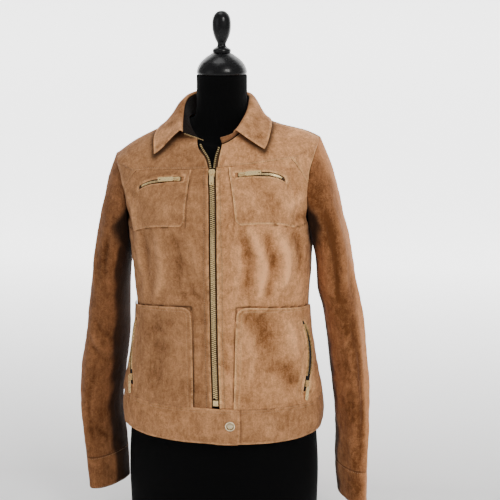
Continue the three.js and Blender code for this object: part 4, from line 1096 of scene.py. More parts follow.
def back():
    us = stations([0, BACK_WIDE], cell())
    vs = stations([BAND_LEVEL + SEAM / 2, PIT, TIP, NECK], cell())
    d, v = np.meshgrid(us, vs)
    side_seam = math.pi / 2 + SEAM / 2 / ring("width", v, TIP)
    start = np.maximum(math.pi - arm_edge(v, ARM_BACK), side_seam)
    phi = mix(start, 2 * math.pi - start, d / BACK_WIDE)
    piece = plain_panel("back_suede", phi, v, border(us, vs), "back")
    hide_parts("back_panel")


def band(name, start, end, corner=None, rise=None):
    """A stretch of the waistband. rise lifts the lap, and corner rounds the tab's end."""
    wide = (end - start) * BAND_ARC
    us = stations([0, wide], cell(), 2.6)
    vs = stations([BAND_BOTTOM, BAND_TOP], cell() * 0.8, 2.6)
    d, v = np.meshgrid(us, vs)
    low, high = v - BAND_BOTTOM, BAND_TOP - v
    seam = np.minimum(low, high)
    if corner:
        q, lower = wide - d, low < high
        seam = np.minimum(seam, q)
        (q1, v1), (q2, v2) = rounded(q, low, corner), rounded(q, high, corner)
        d = wide - np.where(lower, q1, q2)
        v = np.where(lower, BAND_BOTTOM + v1, BAND_TOP - v2)
    phi = start + d / BAND_ARC
    p = body(phi, v)
    fold = relief(phi, v, p) + pucker(p, high) + pucker(p, low) * 0.6
    dip = groove(seam, BAND_ROWS[:1]) + groove(high, BAND_ROWS[1:])
    # Painted shadow of the tab's end on the left waistband.
    tab = np.where(phi > TAB_END, (phi - TAB_END) * TAB_ARC, FAR)
    shades = {
        "edge": bell(seam, 3.2) + dip,
        "fold": fold_shade(fold),
        "painted_shade": 0.75 * bell(tab, 2.4) if name == "waistband_left" else 0 * phi,
    }
    lift = fold + rise(phi) if rise else fold
    piece, outer = wall_piece(
        f"{name}_suede", p, normal(phi, v), lift, BAND, border(us, vs), dip, suede("band"), shades
    )
    declare_sheet(outer)
    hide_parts(name)


def lap_rise(phi):
    return (BAND + SEAM) * smooth((phi - LAP_START) / (LAP_FULL - LAP_START))


def rounded(p, q, radius):
    """The square corner at p = q = 0 made round: each square about it becomes a circle."""
    a, b = 1 - p / radius, 1 - q / radius
    inside = (a > 0) & (b > 0)
    scale = np.maximum(a, b) / np.maximum(np.hypot(a, b), 1e-9)
    return (
        np.where(inside, radius * (1 - a * scale), p),
        np.where(inside, radius * (1 - b * scale), q),
    )


def upward(phi, level, mm):
    """Millimetres up the cloth as levels."""
    return mm / np.linalg.norm(body(phi, level + 1) - body(phi, level), axis=-1)


def chest_place(side, p, q):
    """phi and level on a chest pocket: p from its inner edge, q up from its bottom edge. Rows
    pass through both edges of the zip's slot, and end twice the slot's room over the depth."""
    c, room = CHEST, CHEST_ROOM
    phi = mix(c["inner"], c["outer"], p / c["width"])
    bottom = curve(CHEST_BOTTOM, "level", phi)
    top = curve(YOKE, "level", phi) - 1.5
    zip_level = curve(CHEST_ZIP, "level", phi)
    half = upward(np.radians(phi), zip_level, c["zip_half"])
    under = zip_level - half
    over = np.minimum(zip_level + half, top - 2.5)
    past = q - c["depth"]
    above = np.where(
        past <= room, mix(under, over, past / room), mix(over, top, (past - room) / room)
    )
    level = np.where(past <= 0, mix(bottom, under, q / c["depth"]), above)
    return side * np.radians(phi), level


def mouth_of(us, vs, wide, tall):
    """A mouth in the grid over us and vs: the cells outside it, and each point's distance."""
    mid_u, mid_v = (us[1:] + us[:-1]) / 2, ((vs[1:] + vs[:-1]) / 2)[:, None]
    mouth = (mid_u > wide[0]) & (mid_u < wide[1]) & (mid_v > tall[0]) & (mid_v < tall[1])
    off_u = np.maximum(wide[0] - us, us - wide[1])
    off_v = np.maximum(tall[0] - vs, vs - tall[1])[:, None]
    return ~mouth, np.hypot(np.maximum(off_u, 0), np.maximum(off_v, 0))


def pocket(name, side_name, phi, level, edge, dips, rows, lift, keep):
    """A patch pocket laid on the front, with rows of stitches beside its edges and mouth."""
    p, dip = body(phi, level), groove(dips, rows)
    fold = relief(phi, level, p) + 0.5 * np.maximum(pucker(p, dips), -0.4)
    shades = {"edge": 1.5 * bell(dips, 2.2) + 1.8 * dip, "fold": fold_shade(fold)}
    piece, outer = wall_piece(
        f"{name}_suede", p, normal(phi, level), fold + lift, PATCH, edge, dip,
        suede(f"pocket_{side_name}"), shades, keep=keep,
    )
    declare_sheet(outer)
    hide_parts(name)


def chest_pocket(side_name):
    c = CHEST
    slot = (c["depth"], c["depth"] + CHEST_ROOM)
    us = grid_lines(stations([0, *CHEST_SLOT, c["width"]], 2.4, 1.6), ROW_LINES)
    vs = grid_lines(stations([0, *slot, slot[1] + CHEST_ROOM], 2.4, 1.6), ROW_LINES)
    d, v = np.meshgrid(us, vs)
    phi, level = chest_place(SIDES[side_name], *rounded(d, v, c["corner"]))
    keep, hole = mouth_of(us, vs, CHEST_SLOT, slot)
    pocket(
        f"chest_pocket_{side_name}", side_name, phi, level, np.minimum(border(us, vs), hole),
        np.minimum(np.minimum(d, v), hole), CHEST_ROWS, LAP + PATCH, keep,
    )


def mouth_edge(level, way):
    """An edge of a lower pocket's mouth, in degrees: its middle line and half its gap."""
    return curve(LOWER_ZIP, "phi", level) + way * curve(MOUTH, "half", level)


def lower_phi(d, level):
    """Degrees round the body at d across a lower pocket, straight between its key lines."""
    at = (
        curve(LOWER_INNER, "phi", level), mouth_edge(level, -1), mouth_edge(level, 1),
        LOWER["outer"],
    )
    k = LOWER_KEYS
    one, two, three = (mix(at[i], at[i + 1], (d - k[i]) / (k[i + 1] - k[i])) for i in range(3))
    return np.where(d <= k[1], one, np.where(d <= k[2], two, three))


def lower_place(side, d, v):
    """phi and level on a lower pocket: d across it, and v the level, with the rows above the
    mouth drawn up to the top edge's line."""
    top = curve(LOWER_TOP, "level", lower_phi(d, 460.0))
    above = mix(MOUTH_TOP, top, (v - MOUTH_TOP) / (LOWER["top"] - MOUTH_TOP))
    level = np.where(v <= MOUTH_TOP, v, above)
    return side * np.radians(lower_phi(d, level)), level


def lower_pocket(side_name):
    top = LOWER["top"]
    us = grid_lines(stations(LOWER_KEYS, cell(), 1.6), ROW_LINES)
    vs = stations([BAND_LEVEL + SEAM, MOUTH_BOTTOM, MOUTH_TOP, top], cell(), 1.6)
    vs = grid_lines(vs, top - np.array(ROW_LINES))
    d, v = np.meshgrid(us, vs)
    across_it, drop = rounded(d, top - v, LOWER["corner"])
    phi, level = lower_place(SIDES[side_name], across_it, top - drop)
    keep, hole = mouth_of(us, vs, LOWER_KEYS[1:3], (MOUTH_BOTTOM, MOUTH_TOP))
    pocket(
        f"lower_pocket_{side_name}", side_name, phi, level, np.minimum(border(us, vs), hole),
        np.minimum(np.minimum(d, top - v), hole), LOWER_ROWS, LOWER_LIFT, keep,
    )


def pocket_lining(side_name):
    us = stations(LINING_SIDES, 2.4, 0.8)
    vs = stations([BAND_LEVEL + SEAM, LINING_TOP], 3.0, 0.8)
    d, level = np.meshgrid(us, vs)
    phi = SIDES[side_name] * np.radians(lower_phi(d, level))
    p = body(phi, level)
    lift = relief(phi, level, p) + LINING_LIFT
    look = bpy.context.scene.jacket_suede
    cloth = woven("pocket_lining", look.lining, 7000.0, 0.75, 0.1)
    piece, _ = wall_piece(
        f"pocket_lining_{side_name}_cloth", p, normal(phi, level), lift, LINING,
        border(us, vs), 0.0, cloth, {}, "lining",
    )
    declare_sheet(p)
    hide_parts(f"pocket_lining_{side_name}")


# ---- collar -------------------------------------------------------------------------------


def shoulder_place(x, y):
    """phi and level of the shoulder's point above a place on the floor, by halving."""
    low, high = np.full(np.shape(x), TIP), np.full(np.shape(x), NECK)
    for _ in range(30):
        level = (low + high) / 2
        shift = ring("shift", level, TIP)
        p = body(np.arctan2(x - shift, -y), level)
        far = np.hypot(p[..., 0] - shift, p[..., 1]) > np.hypot(x - shift, y)
        low, high = np.where(far, level, low), np.where(far, high, level)
    level = (low + high) / 2
    return np.arctan2(x - ring("shift", level, TIP), -y), level


UP = np.array([0.0, 0.0, 1.0])


def collar_section(angle):
    """The collar's section at a place on the neck seam: which way its leaf goes, its foot, the
    stand's top, the fold's middle and the leaf's edge."""
    row = row_at(COLLAR_ROWS, angle)
    out = unit(np.stack([row["edgeX"] - row["rollX"], row["edgeY"] - row["rollY"], 0 * angle], -1))
    phi = np.radians(angle)
    foot = body(phi, NECK) - normal(phi, NECK) * SUEDE / 2
    inward = unit(foot * np.array([-1.0, -1.0, 0.0]))
    foot = foot + inward * COLLAR_INSET + UP * COLLAR_RISE
    inside = np.stack([row["rollX"], row["rollY"], row["rollZ"] - FOLD_RADIUS], -1)
    place = shoulder_place(row["edgeX"], row["edgeY"])
    edge = body(*place) + normal(*place) * LEAF_LIFT
    return out, foot, inside, inside + out * FOLD_RADIUS, edge


def stand_surface(angle, v):
    """Collar stand: straight from its foot at v = 0 to just under the fold at v = 1."""
    _, foot, inside, _, _ = collar_section(angle)
    return mix(foot, inside, v[..., None])


FALL_FROM, FALL_TO = 18.0, 125.0
FOLD_SHARE = 0.2


def fall_surface(angle, v):
    """Collar fall: a quarter turn about the fold for v below FOLD_SHARE, then a cubic to the
    leaf's edge that leaves along the fold's tangent and arrives pointing out and down."""
    out, _, _, hub, edge = collar_section(angle)

    def turned(a):
        a = np.radians(a)[..., None]
        return hub - out * FOLD_RADIUS * np.cos(a) + UP * FOLD_RADIUS * np.sin(a)

    roll = turned(mix(FALL_FROM, FALL_TO, np.clip(v / FOLD_SHARE, 0, 1)))
    start = turned(np.full(np.shape(v), FALL_TO))
    reach = np.linalg.norm(edge - start, axis=-1, keepdims=True)
    last = math.radians(FALL_TO)
    leave = (out * math.sin(last) + UP * math.cos(last)) * reach
    arrive = (out * 0.88 - UP * 0.47) * reach
    t = np.clip((v - FOLD_SHARE) / (1 - FOLD_SHARE), 0, 1)[..., None]
    return np.where((v <= FOLD_SHARE)[..., None], roll, cubic(t, start, leave, edge, arrive))


def grid_normals(p):
    """Unit normals of a grid of points, from the chords of its neighbours."""
    return unit(np.cross(np.gradient(p, axis=0), np.gradient(p, axis=1)))


def collar_piece(name, surface, angles, vs, size, rows, look, shade_inside=0.0):
    """A wall about a middle surface with rounded edges and rows of stitches."""
    a, v = np.meshgrid(angles, vs)
    middle = surface(a, v)
    du = np.minimum(a - a.min(), a.max() - a) / (a.max() - a.min()) * size[0]
    low, high = v * size[1], (1 - v) * size[1]
    edge = np.minimum(du, np.minimum(low, high))
    wave = 0.35 * ripple(middle, 21, 12, (22, 60)) * smooth(edge / 12)
    seam = np.minimum(du, high) if rows else np.full_like(edge, FAR)
    dip = groove(seam, rows)
    # Painted light and shade from the ripples; on the stand, painted shade that fades out near the
    # left front.
    shades = {
        "edge": bell(seam, 3.5) + dip,
        "fold": np.clip(0.5 + wave / 3, 0, 1),
        "painted_shade": smooth((a + 320) / 12) * shade_inside,
    }
    piece, _ = wall_piece(
        f"{name}_suede", middle, grid_normals(middle), COLLAR / 2 + wave, COLLAR, edge, dip,
        suede(look), shades,
    )
    declare_sheet(middle)
    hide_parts(name)


def collar_angles(end, count):
    """Angles from the right front to an end, with more of them beside both ends."""
    start = COLLAR_ROWS["at"][0]
    near = np.array([0, 0.05, 0.2, 0.45, 0.8, 1.3, 1.9])
    inner = np.linspace(start - 2.6, end + 2.6, count)
    return np.concatenate([start - near, inner, (end + near)[::-1]])


def collar():
    rows = np.array([0, 0.01, 0.04, 0.1, 0.25, 0.4, 0.55, 0.7, 0.85, 0.95, 0.985, 1.0])
    angles = collar_angles(STAND_END, 110)
    # The stand is painted darker as shade inside the collar: a darker tone and full painted shade.
    collar_piece("collar_stand", stand_surface, angles, rows, (420.0, 30.0), (), "inside", 1.0)
    rows = np.concatenate([
        [0, 0.004, 0.015, 0.04], np.linspace(0.07, 0.2, 6), np.linspace(0.24, 0.9, 20),
        [0.925, 0.94, 0.955, 0.965, 0.978, 0.988, 0.994, 0.998, 1.0],
    ])
    angles = collar_angles(LEAF_END, 120)
    collar_piece("collar_fall", fall_surface, angles, rows, (480.0, LEAF), (LEAF_ROW,), "collar")


# ---- sleeves ------------------------------------------------------------------------------


def sleeve_surface(side_name, theta, s):
    """Point of a sleeve: at s along it, a slanted ellipse between its outer and inner edges.

    x and z run between the two edges with (1 + cos theta) / 2, and y with sin(theta + phase).
    Near s = 0 the ring turns into the armhole's own line. Folds stand off along the normal.
    """
    side, share = SIDES[side_name], (1 + np.cos(theta)) / 2

    def ellipse(at):
        row = row_at(SLEEVES[side_name], at)
        y = row["centreY"] - row["depth"] * np.sin(theta + np.radians(row["phase"]))
        x, z = (mix(row["in" + axis], row["out" + axis], share) for axis in "XZ")
        return np.stack([side * x, y, z], -1)

    level = PIT + (TIP - PIT) * share
    bow = np.where(np.sin(theta) >= 0, -ARM_FRONT, ARM_BACK) * abs(np.sin(theta))
    phi = side * (math.pi / 2 + bow)
    seat = body(phi, level) + normal(phi, level) * 0.4 - ellipse(np.zeros_like(s))
    return ellipse(s) + seat * (1 - smooth(s / ARM_BLEND))[..., None]


def sleeve_relief(side_name, theta, s, p):
    """Folds and ripples of a sleeve, quiet at the armhole and beside the body."""
    total = 0.7 * ripple(p, 31, 14, (34, 90)) + 0.25 * ripple(p, 33, 14, (12, 30))
    rows = SLEEVE_FOLDS[side_name]
    total = total + strokes(np.degrees(theta), s * SLEEVE_LONG, rows, 1, SLEEVE_LONG)
    inside = np.clip((0.25 - np.cos(theta)) / 0.5, 0, 1)
    away = 1 - 0.75 * smooth(inside) * smooth((0.8 - s) / 0.3)
    return total * smooth(s / 0.1) * away


# Painted light of each sleeve: the highlight's strength and width round its outside, the
# darkening's strength, turn and width, and where the painted shade beside the body starts.
SLEEVE_PAINTED_LIGHT = {
    "right": {"painted_highlight": (0.12, 24), "darkening": (0.10, 80, 34), "shade_from": 0.42},
    "left": {"painted_highlight": (0.95, 20), "darkening": (0.26, 72, 36), "shade_from": 0.66},
}


def sleeve_shade(side_name, theta, s, p):
    """Painted light on a sleeve: a highlight outside, shade on front and back and by the body."""
    look = SLEEVE_PAINTED_LIGHT[side_name]
    turn = np.degrees(np.mod(theta + math.pi, 2 * math.pi) - math.pi)
    (painted_highlight, painted_highlight_wide), (darkening, darkening_at, darkening_wide) = look["painted_highlight"], look["darkening"]
    tone = painted_highlight * bell(turn - 4, painted_highlight_wide) - darkening * bell(turn - darkening_at, darkening_wide)
    # Painted shade over the back of the sleeve.
    tone = tone - 0.16 * smooth((-np.sin(theta) - 0.05) / 0.5)
    facing = 0.07 * ripple(p, 51, 12, (30, 100)) - np.cos(theta)
    front = smooth((np.sin(theta) + 0.5) / 0.5)
    # Painted shade beside the body and at the armpit, fading out round the back.
    beside = 0.86 * smooth((facing - look["shade_from"]) / 0.24) * front
    armpit_shade = 0.95 * smooth((facing + 0.15) / 0.35) * smooth((0.17 - s) / 0.1) * front
    return tone, np.maximum(beside, armpit_shade)


def tube(name, side_name, ss, hemmed):
    """A tube of cloth along a sleeve between two stations, stitched at both ends if hemmed."""
    theta = np.linspace(0, 2 * math.pi, 121)[:-1]
    t, s = np.meshgrid(theta, ss)
    p = sleeve_surface(side_name, t, s)
    n = grid_normals(np.concatenate([p[:, -2:], p, p[:, :2]], 1))[:, 2:-2]
    n = n * np.sign(((p - p.mean(1, keepdims=True)) * n).sum(-1, keepdims=True))
    fold = sleeve_relief(side_name, t, s, p)
    along = np.minimum(s - ss[0], ss[-1] - s) * SLEEVE_LONG
    seam = along if hemmed else np.full_like(along, FAR)
    dip = groove(seam, (HEM_ROW,))
    tone, painted_shade = sleeve_shade(side_name, t, s, p)
    # Painted light: tone paints a highlight through the edge tint and light and shade into the
    # fold shading, and both ends of the cuff are painted darker.
    shades = {
        "edge": 0.3 * bell(seam, 3.2) + 0.4 * dip + 2.4 * np.maximum(tone - 0.45, 0),
        "fold": fold_shade(fold) + tone,
        "painted_shade": np.maximum(painted_shade, 0.5 * bell(seam, 1.6)),
    }
    look = suede(f"sleeve_{side_name}")
    piece, outer = wall_piece(
        f"{name}_suede", p, n, fold, SUEDE, along, dip, look, shades, wrap=True
    )
    declare_sheet(np.concatenate([outer, outer[:, :1]], 1))
    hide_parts(name)


def sleeve(side_name):
    near = np.array([0, 0.05, 0.2, 0.5, 1.0, 1.8, 2.6, 4.0]) / SLEEVE_LONG
    top, bottom = CUFF_AT - CUFF_GAP, CUFF_AT + CUFF_GAP
    upper = np.linspace(0.009, CUFF_AT - 0.009, 190)
    upper = np.concatenate([near, upper, (top - near)[::-1]])
    lower = np.linspace(CUFF_AT + 0.009, 0.991, 18)
    lower = np.concatenate([bottom + near, lower, (1 - near)[::-1]])
    tube(f"sleeve_{side_name}", side_name, upper, False)
    tube(f"cuff_{side_name}", side_name, lower, True)


# ---- form, metal and thread ---------------------------------------------------------------


EASE = table(
    "level gap side",
    [
        (283, 18, 18), (335, 22, 22), (373, 24, 24), (450, 26, 26), (510, 17, 17), (562, 9, 9),
        (610, 5.5, 5.5), (660, 5.5, 6.5), (705, 6, 8), (746, 5.4, 7.6), (765, 4.2, 2.7),
        (785, 4.2, 2.7), (808, 4.2, 4),
    ],
)
HIPS = table(
    "z width front back",
    [
        (0, 180, 100, 112), (60, 181, 101, 114), (130, 182, 102, 115), (200, 178, 101, 112),
        (255, 172, 102, 108),
    ],
)
HIP_SQUARE = 2.2


def torso_rings(phi):
    """Rings of the form: superellipse hips, then the jacket's own surface drawn in by its ease,
    then a hollow curve in and up to the neck's cylinder."""

    def hip(z):
        row, n = row_at(HIPS, z), HIP_SQUARE
        depth = np.where(np.cos(phi) >= 0, row["front"], row["back"])
        r = ((abs(np.sin(phi)) / row["width"]) ** n + (abs(np.cos(phi)) / depth) ** n) ** (-1 / n)
        return np.stack([r * np.sin(phi) + 1, -r * np.cos(phi), z + 0 * phi], -1)

    def drawn(level):
        row = row_at(EASE, level)
        gap = mix(row["gap"], row["side"], np.sin(phi) ** 6)
        gap = gap + 3 * np.maximum(np.cos(phi), 0) ** 2 + 0.5
        return body(phi, level + 0 * phi) - normal(phi, level + 0 * phi) * gap[..., None]

    def column(z, radius):
        return np.stack([radius * np.sin(phi) + NECK_X, -radius * np.cos(phi), z + 0 * phi], -1)

    rings = []
    for z, inset in ((0.0, 3.0), (0.4, 1.6), (1.5, 0.6), (4.0, 0.0)):
        ring_z = hip(z)
        rings.append(ring_z - unit(ring_z * (1.0, 1.0, 0.0)) * inset)
    rings += [hip(z) for z in np.linspace(14, 250, 14)]
    low, high = rings[-1], drawn(300.0)
    rings += [mix(low, high, smooth(t)) for t in (0.25, 0.5, 0.75)]
    rings += [drawn(level) for level in np.linspace(300, 740, 50)]
    rings += [drawn(level) for level in np.linspace(TIP, NECK, 16)]
    foot, neck = drawn(NECK), column(815.0, 46.0)
    for f in np.linspace(0.12, 0.88, 8):
        ring_f = mix(foot, neck, 1 - (1 - f) ** 2)
        ring_f[:, 2] = mix(foot[:, 2], neck[:, 2], f * f)
        rings.append(ring_f)
    rings += [column(z, 45.3) for z in np.linspace(816, NECK_TOP - 1.5, 10)]
    rings += [column(NECK_TOP - 0.6, 44.9), column(NECK_TOP, 43.6)]
    return np.stack(rings)


def make_skin(name, rings, look, darkening=None):
    """A closed skin over rings of points, with a fan of triangles at each end."""
    rows, columns = rings.shape[:2]
    index = np.arange(rows * columns).reshape(rows, columns)
    index = np.concatenate([index, index[:, :1]], 1)
    quads = np.stack(corners(index), -1)
    points = np.concatenate([rings.reshape(-1, 3), rings[0].mean(0)[None], rings[-1].mean(0)[None]])
    hub = rows * columns
    first = [[index[0, j + 1], index[0, j], hub] for j in range(columns)]
    last = [[index[-1, j], index[-1, j + 1], hub + 1] for j in range(columns)]
    mesh = make_mesh(name, points, quads.reshape(-1, 4).tolist() + first + last)
    # Painted shade, one value for each ring, for the metal's mask.
    if darkening is not None:
        values = np.repeat(darkening, columns)
        set_values(mesh, "darkening", np.pad(values, (0, len(points) - len(values)), mode="edge"))
    return add_piece(name, mesh, look)


CAP_PROFILE = [
    (0.2, 0.3), (42, 0.3), (43.8, 0.9), (44.8, 2.6), (45.2, 4.4), (44.8, 7.5), (43.4, 12), (41, 17),
    (37.6, 22), (33, 26.8), (27.8, 31), (22.5, 34.6), (18.5, 37.2), (16.6, 38), (0.2, 38),
]
FINIAL_PROFILE = [
    (0.2, 38.3), (15.3, 38.3), (16.2, 39.4), (16.5, 42), (15.8, 44.6), (13.4, 46.6), (9.8, 48.4),
    (8.0, 50.6), (7.5, 53.4), (8.4, 56.6), (10.2, 60), (12.6, 65), (14.9, 71.5), (16.3, 79),
    (16.8, 86), (16.6, 93), (15.3, 100), (12.6, 105.6), (8.9, 109.4), (4.6, 111.5), (0.2, 112),
]
SNAP_PROFILE = [
    (0.1, 0), (8.4, 0), (9.1, 0.4), (9.2, 1.2), (8.9, 2.1), (8.2, 2.6), (7.3, 2.6), (6.6, 1.9),
    (6.3, 0.9), (6.0, 0.5), (5.6, 0.9), (4.4, 1.3), (2.2, 1.6), (0.1, 1.7),
]


def lathe(profile, base, x):
    """Rings of a turned shape: each profile point swept once round the upright axis."""
    a = np.linspace(0, 2 * math.pi, 97)[:-1]
    pr = np.array(profile, float)
    t = np.linspace(0, len(pr) - 1, (len(pr) - 1) * 3 + 1)
    r, h = (np.interp(t, np.arange(len(pr)), pr[:, k])[:, None] for k in (0, 1))
    return np.stack([x + r * np.cos(a), r * np.sin(a), base + h + 0 * a], -1)


def dress_form():
    form = bpy.context.scene.jacket_form
    jersey = woven("form_jersey", form.jersey, 5200.0, 0.95, 0.01)
    phi = np.linspace(0, 2 * math.pi, 129)[:-1]
    torso = make_skin("torso_jersey", torso_rings(phi), jersey)
    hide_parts("form_torso")
    lacquer = material(
        "form_lacquer",
        polish_group(),
        {"Color": opaque(form.lacquer), "Tarnish And Shade": opaque(form.lacquer, 1.6)},
        {"Coat Weight": 0.1, "Coat Roughness": 0.15, "Specular IOR Level": 0.22},
    )
    cap = make_skin("neck_cap_turned", lathe(CAP_PROFILE, NECK_TOP, NECK_X), lacquer)
    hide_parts("form_neck_cap")
    finial = make_skin("finial_turned", lathe(FINIAL_PROFILE, NECK_TOP, NECK_X), lacquer)
    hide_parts("form_finial")


def frames_along(phi, level, lift):
    """Points along a line on the cloth with their tangent, outward normal and side."""
    p = cloth_point(phi, level, lift)
    tangent = unit(np.gradient(p, axis=0))
    side = unit(np.cross(tangent, normal(phi, level)))
    return p, tangent, unit(np.cross(side, tangent)), side


def resampled(frames, pitch, start=0.0):
    """Frames along a line at even distances, measured on the points that come first."""
    run = np.cumsum(np.linalg.norm(np.diff(frames[0], axis=0), axis=1))
    run = np.concatenate([[0], run])
    count = max(int((run[-1] - start) / pitch), 1)
    at = start + (np.arange(count) + 0.5) * pitch
    at = at[at < run[-1]]
    return [np.stack([np.interp(at, run, axis) for axis in v.T], -1) for v in frames]


TOOTH = np.array([
    (-1, -1, 0), (1, -0.72, 0), (1, 0.72, 0), (-1, 1, 0),
    (-0.9, -0.8, 1), (0.9, -0.5, 1), (0.9, 0.5, 1), (-0.9, 0.8, 1),
])
TOOTH_FACES = np.array([
    (0, 3, 2, 1), (4, 5, 6, 7), (0, 1, 5, 4), (1, 2, 6, 5), (2, 3, 7, 6), (3, 0, 4, 7),
])
STITCH = np.array([(-1, 0, 0), (0, -1, 0), (0, 0, 1), (0, 1, 0), (0, 0, -1), (1, 0, 0)])
STITCH_FACES = np.array([
    (0, 1, 2), (0, 2, 3), (0, 3, 4), (0, 4, 1), (5, 2, 1), (5, 3, 2), (5, 4, 3), (5, 1, 4),
])


def copies(shape, faces, p, u, v, w, size):
    """The same small shape at each place, with its three axes along u, v and w."""
    s = shape * np.array(size)
    points = p[:, None] + sum(axis[:, None] * s[:, k : k + 1] for k, axis in enumerate((u, v, w)))
    index = faces[None] + (np.arange(len(p)) * len(shape))[:, None, None]
    return points.reshape(-1, 3), index.reshape(-1, faces.shape[1])


def merge(parts):
    points, faces, count = [], [], 0
    for p, f in parts:
        points.append(p)
        faces.append(f + count)
        count += len(p)
    return np.concatenate(points), np.concatenate(faces)


def teeth(phi, level, lift, side, pitch, size, offset=0.0, start=0.0):
    """Teeth on one side of a zip: small tapered blocks set across the line every pitch."""
    frames = frames_along(phi, level, lift)
    p, tangent, out, across_it = resampled(frames, pitch, start)
    reach = -side * across_it
    return copies(TOOTH, TOOTH_FACES, p + reach * -offset, reach, tangent, out, size)


def closed_teeth(phi, level, lift, pitch, size, offset):
    """Both rows of a closed zip, the second half a pitch further on."""
    return [
        teeth(phi, level, lift, way, pitch, size, offset, start)
        for way, start in ((1, 0.0), (-1, pitch / 2))
    ]


def metal_piece(name, parts, node):
    look = brass("worn_brass", bpy.context.scene.jacket_metal.brass)
    piece = make_piece(name, *merge(parts), look, "zip_brass", smooth_faces=False)
    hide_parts(node)


def tape_strip(phi, level, lift, thick, half):
    """A flat woven strip along a line."""
    p, _, out, side = frames_along(phi, level, lift)
    share = np.linspace(-half, half, 5)[None, :, None]
    face = p[:, None] + side[:, None] * share
    return closed_wall(face, face - out[:, None] * thick)


def tape_look():
    return woven("woven_tape", bpy.context.scene.jacket_metal.tape, 6200.0, 0.85, 0.02)


def front_zip():
    pitch = bpy.context.scene.jacket_metal.tooth / MM
    levels = np.linspace(300.5, SLIDER_LEVEL - 9, 500)
    parts = closed_teeth(centre_at(levels), levels, 0.1, pitch, (2.1, 1.15, 1.6), 1.75)
    metal_piece("front_teeth", parts, "front_chain")
    levels = np.linspace(SLIDER_LEVEL + 9.5, NECK - 1.5, 160)
    for name, side in SIDES.items():
        phi = opening_side("row", side, levels)
        row = teeth(phi, levels, 0.0, side, pitch, (1.5, 0.85, 1.6))
        parts = [row] if side > 0 else [row, stand_teeth(pitch)]
        metal_piece(f"open_teeth_{name}", parts, f"zip_row_{name}")


def stand_teeth(pitch):
    """The right row's last teeth, up the front edge of the stand to the collar's fold."""
    v = np.linspace(-0.22, 0.93, 40)
    first = COLLAR_ROWS["at"][0]
    p = stand_surface(np.full_like(v, first), v)
    side = unit(p - stand_surface(np.full_like(v, first - 2.0), v))
    tangent = unit(np.gradient(p, axis=0))
    out = unit(np.cross(side, tangent))
    p, tangent, side, out = resampled((p, tangent, side, out), pitch)
    p = p + side * 1.2 - out * 0.6
    return copies(TOOTH, TOOTH_FACES, p, side, tangent, out, (1.3, 0.85, 1.2))


def front_tape(side_name):
    """Woven tape from beside the closed chain up along the open row, under the leather."""
    side = SIDES[side_name]
    us = np.linspace(0, 1, 9)
    vs = np.concatenate([np.linspace(BAND_LEVEL + 2, SLIDER_LEVEL, 150), np.linspace(753, 798, 24)])
    t, level = np.meshgrid(us, vs)
    low = centre_at(level) + side * across(level, mix(CHAIN_HALF - 1.2, TAPE_HALF, t))
    inner = opening_side("row", side, level) + side * across(level, 0.9)
    outer = opening_side("edge", side, level) + side * across(level, TAPE_HALF - ZIP_RECESS)
    phi = np.where(level <= SLIDER_LEVEL, low, mix(inner, outer, t))
    p, n = body(phi, level), normal(phi, level)
    fold = relief(phi, level, p) - SUEDE - LAP
    points, faces = closed_wall(p + n * fold[..., None], p + n * (fold - 0.8)[..., None])
    piece = make_piece(f"zip_tape_{side_name}", points, faces, tape_look(), "zip_tape")
    declare_sheet(p)
    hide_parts(f"front_tape_{side_name}")


def chest_zip(side_name):
    def line(start, end, count):
        phi = np.linspace(start, end, count)
        return SIDES[side_name] * np.radians(phi), curve(CHEST_ZIP, "level", phi)

    parts = closed_teeth(*line(34.5, 55, 160), LAP + 0.5, 1.9, (0.95, 0.6, 1.0), 0.8)
    metal_piece(f"chest_teeth_{side_name}", parts, f"chest_chain_{side_name}")
    points, faces = tape_strip(*line(27, 56.5, 90), LAP - 0.05, 0.45, 4.1)
    make_piece(f"chest_tape_{side_name}", points, faces, tape_look(), "zip_tape")


def mouth_zip(side_name):
    side, level = SIDES[side_name], np.linspace(330, 424, 120)
    inward = 1.5 / ring("width", level, TIP)
    for way, node in ((-1, "inner"), (1, "outer")):
        phi = side * (np.radians(mouth_edge(level, way)) - way * inward)
        parts = [teeth(phi, level, LINING_LIFT + 1.2, side * way, 2.2, (1.5, 0.8, 2.2))]
        metal_piece(f"mouth_teeth_{node}_{side_name}", parts, f"mouth_row_{node}_{side_name}")


def polish_nodes():
    """Gives the hard parts that stay from the solids their metal."""
    look = brass("worn_brass", bpy.context.scene.jacket_metal.brass)
    for name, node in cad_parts.items():
        if name.startswith(("slider_", "pull_", "front_zip_box")):
            node.data.materials.clear()
            node.data.materials.append(look)


def snap_cap():
    """A domed cap inside a raised rim, turned about the tab's normal."""
    rings = lathe(SNAP_PROFILE, 0.0, 0.0)
    radius = np.hypot(rings[:, 0, 0], rings[:, 0, 1])
    # Painted shade in the groove inside the rim and, lighter, over the dome; none on the rim.
    darkening = np.interp(radius, [5.0, 5.6, 6.6, 7.1], [0.35, 1.0, 1.0, 0.0])
    darkening = np.where(rings[:, 0, 2] < 0.3, 0.0, darkening)
    n = normal(SNAP["phi"], SNAP["level"])
    up = unit(UP - n * n[2])
    side = np.cross(up, n)
    at = body(SNAP["phi"], SNAP["level"]) + n * SNAP["lift"]
    rings = at + rings[..., :1] * side + rings[..., 1:2] * up + rings[..., 2:] * n
    look = brass("worn_snap", bpy.context.scene.jacket_metal.snap)
    piece = make_skin("snap_cap", rings, look, darkening)
    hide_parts("snap")


def sew(parts, p, tangent, out, side):
    """A row of topstitches along a line given by its frames."""
    look = bpy.context.scene.jacket_suede
    p, tangent, out, side = resampled((p, tangent, out, side), look.pitch / MM)
    size = (look.stitch / MM / 2, 0.42, 0.42)
    parts.append(copies(STITCH, STITCH_FACES, p, unit(tangent), unit(side), unit(out), size))


